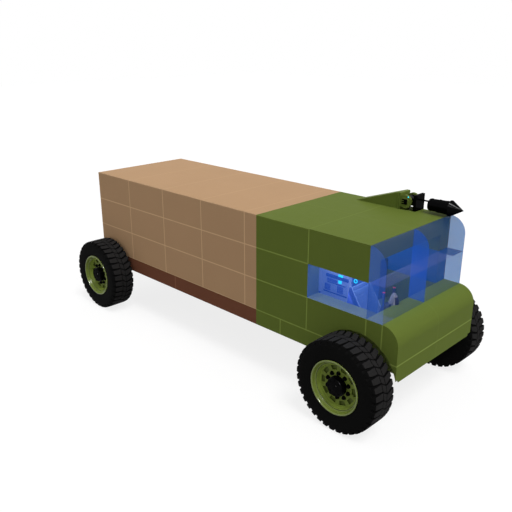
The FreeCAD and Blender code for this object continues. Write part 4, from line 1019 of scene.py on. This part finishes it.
def place_glass(finishes):
    """Windscreen blocks, two in each row with the upper edge rounded, and the side windows' blocks. Each
    stays clear of its neighbours by a hair, so that no two faces share a place."""
    hair = 0.0007
    for name in ("windscreen_lower", "windscreen_upper", "side_glass_left", "side_glass_right"):
        low, high = (np.array(corner) + way * hair for corner, way in zip(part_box(name), (1, -1)))
        outline = [(low[0], low[2]), (high[0], low[2]), (high[0], high[2]), (low[0], high[2])]
        if name == "windscreen_upper":
            bend = high[0] - low[0]
            turn = np.linspace(0, np.pi / 2, 17)
            outline[2:] = zip(low[0] + bend * np.cos(turn), high[2] - bend + bend * np.sin(turn))
        spans = [(low[1], high[1])]
        if name.startswith("windscreen"):
            spans = [(low[1], -hair), (hair, high[1])]
        blocks = [block(outline, *span) for span in spans]
        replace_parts(piece(name + "_blocks", blocks, finishes["glass"], "truck"), name)


# Roof arm

ARM_Y = 0.875
ARM_Z = 2.655
CHEEK = 0.750               # y of the hinge's right face
PLATE_FRONT = 2.555


def place_arm(finishes):
    """Bolts of the arm's plate, bands on its drum, the hinge's cap, lamp and slots, and the wedge's
    flanges."""
    head = bolt(0.018, 0.009)[:, :, [1, 0, 2]]
    heads = [head + np.array([PLATE_FRONT, ARM_Y + dy, ARM_Z + dz])
             for dy in (-0.095, 0.095) for dz in (-0.095, 0.095)]
    piece("arm_plate_bolts", [shell(g) for g in heads], finishes["gloss"], "roof_arm")
    bands = []
    for x, step in ((2.735, 0.0), (2.860, 0.004), (2.985, 0.0065)):
        bands.append(lathe([
            (0.086, x), (0.092 + step, x + 0.001), (0.0935 + step, x + 0.004), (0.0935 + step, x + 0.016),
            (0.092 + step, x + 0.019), (0.086, x + 0.020)], 64, "x") + np.array([0, ARM_Y, ARM_Z]))
    piece("arm_drum_bands", [shell(g) for g in bands], finishes["gloss"], "roof_arm")
    cap = lathe([
        (0.060, CHEEK), (0.060, CHEEK - 0.003), (0.056, CHEEK - 0.005), (0.030, CHEEK - 0.005),
        (0.028, CHEEK - 0.008), (0.010, CHEEK - 0.009), (0.001, CHEEK - 0.009)], 48)
    cap = cap + np.array([2.375, 0, ARM_Z])
    piece("hinge_cap", [shell(cap)], finishes["hinge"], "truck")
    lamp = lathe([(0.008, 0.0), (0.008, 0.003), (0.005, 0.0055), (0.001, 0.006)], 20)
    lamp = lamp * np.array([1, -1, 1]) + np.array([2.425, CHEEK, ARM_Z + 0.078])
    piece("hinge_lamp", [shell(lamp)], finishes["cyan"], "truck")
    outer, sunk = CHEEK - 0.0135, CHEEK + 0.0005
    slots = [slab((2.362, outer, ARM_Z - 0.040), (2.412, sunk, ARM_Z + 0.040), 0.010, 0.002)]
    slots += [slab((2.322, outer, ARM_Z + dz - 0.008), (2.368, sunk, ARM_Z + dz + 0.008), 0.004, 0.002)
              for dz in (-0.031, 0.0, 0.031)]
    piece("hinge_slots", [shell(g) for g in slots], finishes["gloss"], "truck")
    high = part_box("roof_wedge")[1][2] - 0.001
    flanges = [slab((x, 0.742, ROOF + 0.001), (x + 0.018, 1.008, high), 0.012, 0.003, "x")
               for x in (2.242, 2.280)]
    piece("wedge_flanges", [shell(g) for g in flanges], finishes["green"], "truck")


# Stage

def seen_directly(finish):
    """One for rays from the camera, gloss and glass, and zero for light on its way to other surfaces."""
    rays = finish.node("ShaderNodeLightPath").socket.node.outputs
    camera, gloss, glass = (Value(finish, rays["Is " + kind + " Ray"])
                            for kind in ("Camera", "Glossy", "Transmission"))
    return camera.most(gloss).most(glass)


def floor_finish():
    """Pale floor that the camera, gloss and glass see as near white, while it keeps shadows."""
    finish = Finish("floor")
    seen = seen_directly(finish)
    tint = finish.mix(seen, (0.34, 0.34, 0.34, 1), (0.80, 0.80, 0.80, 1))
    matt = finish.node("ShaderNodeBsdfDiffuse", None, {"Color": tint})
    glow = finish.node("ShaderNodeEmission", None, {"Strength": 1.12})
    return finish.end(finish.node("ShaderNodeMixShader", None, {0: seen * 0.72, 1: matt, 2: glow}))


def sky():
    """White where it is seen, and half as bright as a source of light."""
    finish = Finish("sky", "worlds")
    white = (1.0, 1.0, 1.0, 1.0)
    seen = seen_directly(finish)
    light = finish.node("ShaderNodeBackground", None, {"Color": white, "Strength": 0.50})
    backdrop = finish.node("ShaderNodeBackground", None, {"Color": white, "Strength": 1.0})
    blend = finish.node("ShaderNodeMixShader", None, {0: seen, 1: light, 2: backdrop})
    return finish.end(blend, "ShaderNodeOutputWorld")


def place_object(name, data, place=(0, 0, 0), aim=(0, 0, -1)):
    """Puts a lamp or the camera at a place, so that it looks along the aim."""
    made = bpy.data.objects.new(name, data)
    made.location = place
    made.rotation_euler = Vector(aim).to_track_quat("-Z", "Y").to_euler()
    bpy.context.scene.collection.objects.link(made)
    return made


def place_sun(name, towards, energy, degrees):
    """Distant lamp that stands towards a direction and looks as wide as those degrees."""
    light = bpy.data.lights.new(name, "SUN")
    light.energy = energy
    light.angle = math.radians(degrees)
    made = place_object(name, light)
    made.rotation_euler = Vector(towards).to_track_quat("Z", "Y").to_euler()
    return made


def stage():
    """Floor, soft sky, one broad lamp, small lamps and the camera."""
    size = 60.0
    mesh = bpy.data.meshes.new("floor")
    corners = [(-size, -size, 0), (size, -size, 0), (size, size, 0), (-size, size, 0)]
    mesh.from_pydata(corners, [], [(0, 1, 2, 3)])
    mesh.materials.append(floor_finish())
    floor = bpy.data.objects.new("floor", mesh)
    floor.location.z = -0.001
    bpy.context.scene.collection.objects.link(floor)
    bpy.context.scene.world = sky()

    above = (0.446, -0.085, 0.891)
    place_sun("key", above, 1.76, 25)

    # two small bright lamps, high and at the side, that show in gloss alone
    for name, towards, energy in (
            ("glint_high", above, 2.2),
            ("glint_side", (0.45, -0.60, 0.66), 6.0)):
        place_sun(name, towards, energy, 8).visible_diffuse = False

    # soft lamps in the cab: under its ceiling, along the right wall, and in the side window's recess
    for name, place, aim, size, energy, tint in (
            ("cab_ceiling", (2.1, 0.0, 2.26), (0, 0, -1), (1.3, 1.4), 19.0, (0.45, 0.62, 1.0)),
            ("cab_wall", (2.45, -WALL_INNER, 1.75), (0, 1, 0), (1.0, 0.45), 3.8, (0.60, 0.72, 1.0)),
            ("window_recess", (2.5, -0.87, 2.02), (0, 0, -1), (0.9, 0.18), 1.7, (0.9, 0.95, 1.0))):
        light = bpy.data.lights.new(name, "AREA")
        light.shape = "RECTANGLE"
        light.size, light.size_y = size
        light.energy = energy
        light.color = tint
        place_object(name, light, place, aim).visible_camera = False

    lens = bpy.data.cameras.new("camera")
    lens.sensor_width = 36.0
    lens.lens = 43.53
    camera = place_object("camera", lens, (7.115, -7.143, 4.956), (-0.6655, 0.6680, -0.3330))
    bpy.context.scene.camera = camera
    bpy.context.scene.view_settings.view_transform = "Standard"


FINISHES = {
    "green": painted("green_paint", GREEN, GREEN_SEAM, cab_seams),
    "tan": painted("tan_paint", TAN, TAN_SEAM, box_seams),
    "brown": painted("brown_paint", BROWN, BROWN_SEAM, sill_seams),
    "steel": black_steel(),
    "gloss": gloss_black(),
    "rubber": rubber(),
    "rubber_small": plain("soft_rubber", colour(20, 20, 21), 0.75, 0.0, 0.2),
    "wheel": wheel_paint(),
    "bead": bead_paint(),
    "glass": block_glass(),
    "plastic": console_plastic(),
    "cover": cover_plastic(),
    "seat": seat_plastic(),
    "cloth": seat_cloth(),
    "hinge": hinge_paint(),
    "door": door_paint(),
    "navy": plain("navy_plastic", colour(10, 16, 66), 0.45, 0.0, 0.15),
    "violet": plain("violet_plastic", colour(58, 58, 122), 0.4),
    "pale": plain("pale_plastic", colour(150, 160, 190), 0.45),
    "cyan": plain("cyan_screen", colour(20, 225, 250), 0.3, 1.4),
    # the red tips glow a little: painted light, as they are no lamps
    "red": plain("red_tip", colour(225, 20, 70), 0.35, 0.3),
}

NODE_FINISH = {
    "steel": ("frame_rail_left", "frame_rail_right", "front_axle", "rear_axle", "leaf_springs",
              "powertrain", "propshafts", "knuckle_left", "knuckle_right"),
    "gloss": ("arm_yoke", "arm_tool"),
    "brown": ("sill_left", "sill_right", "cross_members"),
    "tan": ("box_floor", "box_side_left", "box_side_right", "box_front_wall", "box_roof"),
    "door": ("rear_door_left", "rear_door_right"),
    "green": ("cab_floor", "cab_side_left", "cab_side_right", "cab_rear_wall", "cab_roof", "cab_nose",
              "roof_wedge"),
    "hinge": ("roof_hinge_base",),
    "glass": ("side_glass_left", "side_glass_right", "windscreen_lower", "windscreen_upper"),
    "wheel": ("wheel_front_left", "wheel_front_right", "wheel_rear_left", "wheel_rear_right"),
    "rubber": ("tyre_front_left", "tyre_front_right", "tyre_rear_left", "tyre_rear_right"),
    "seat": ("seat_shell",),
    "cloth": ("seat_cushions",),
    "plastic": ("control_console", "equipment_cabinet"),
}

for key, names in NODE_FINISH.items():
    for name in names:
        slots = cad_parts[name].data.materials
        slots.clear()
        slots.append(FINISHES[key])

place_wheel_pieces(FINISHES)
place_seat(FINISHES)
place_controls(FINISHES)
place_cabinet(FINISHES)
place_glass(FINISHES)
place_arm(FINISHES)
stage()
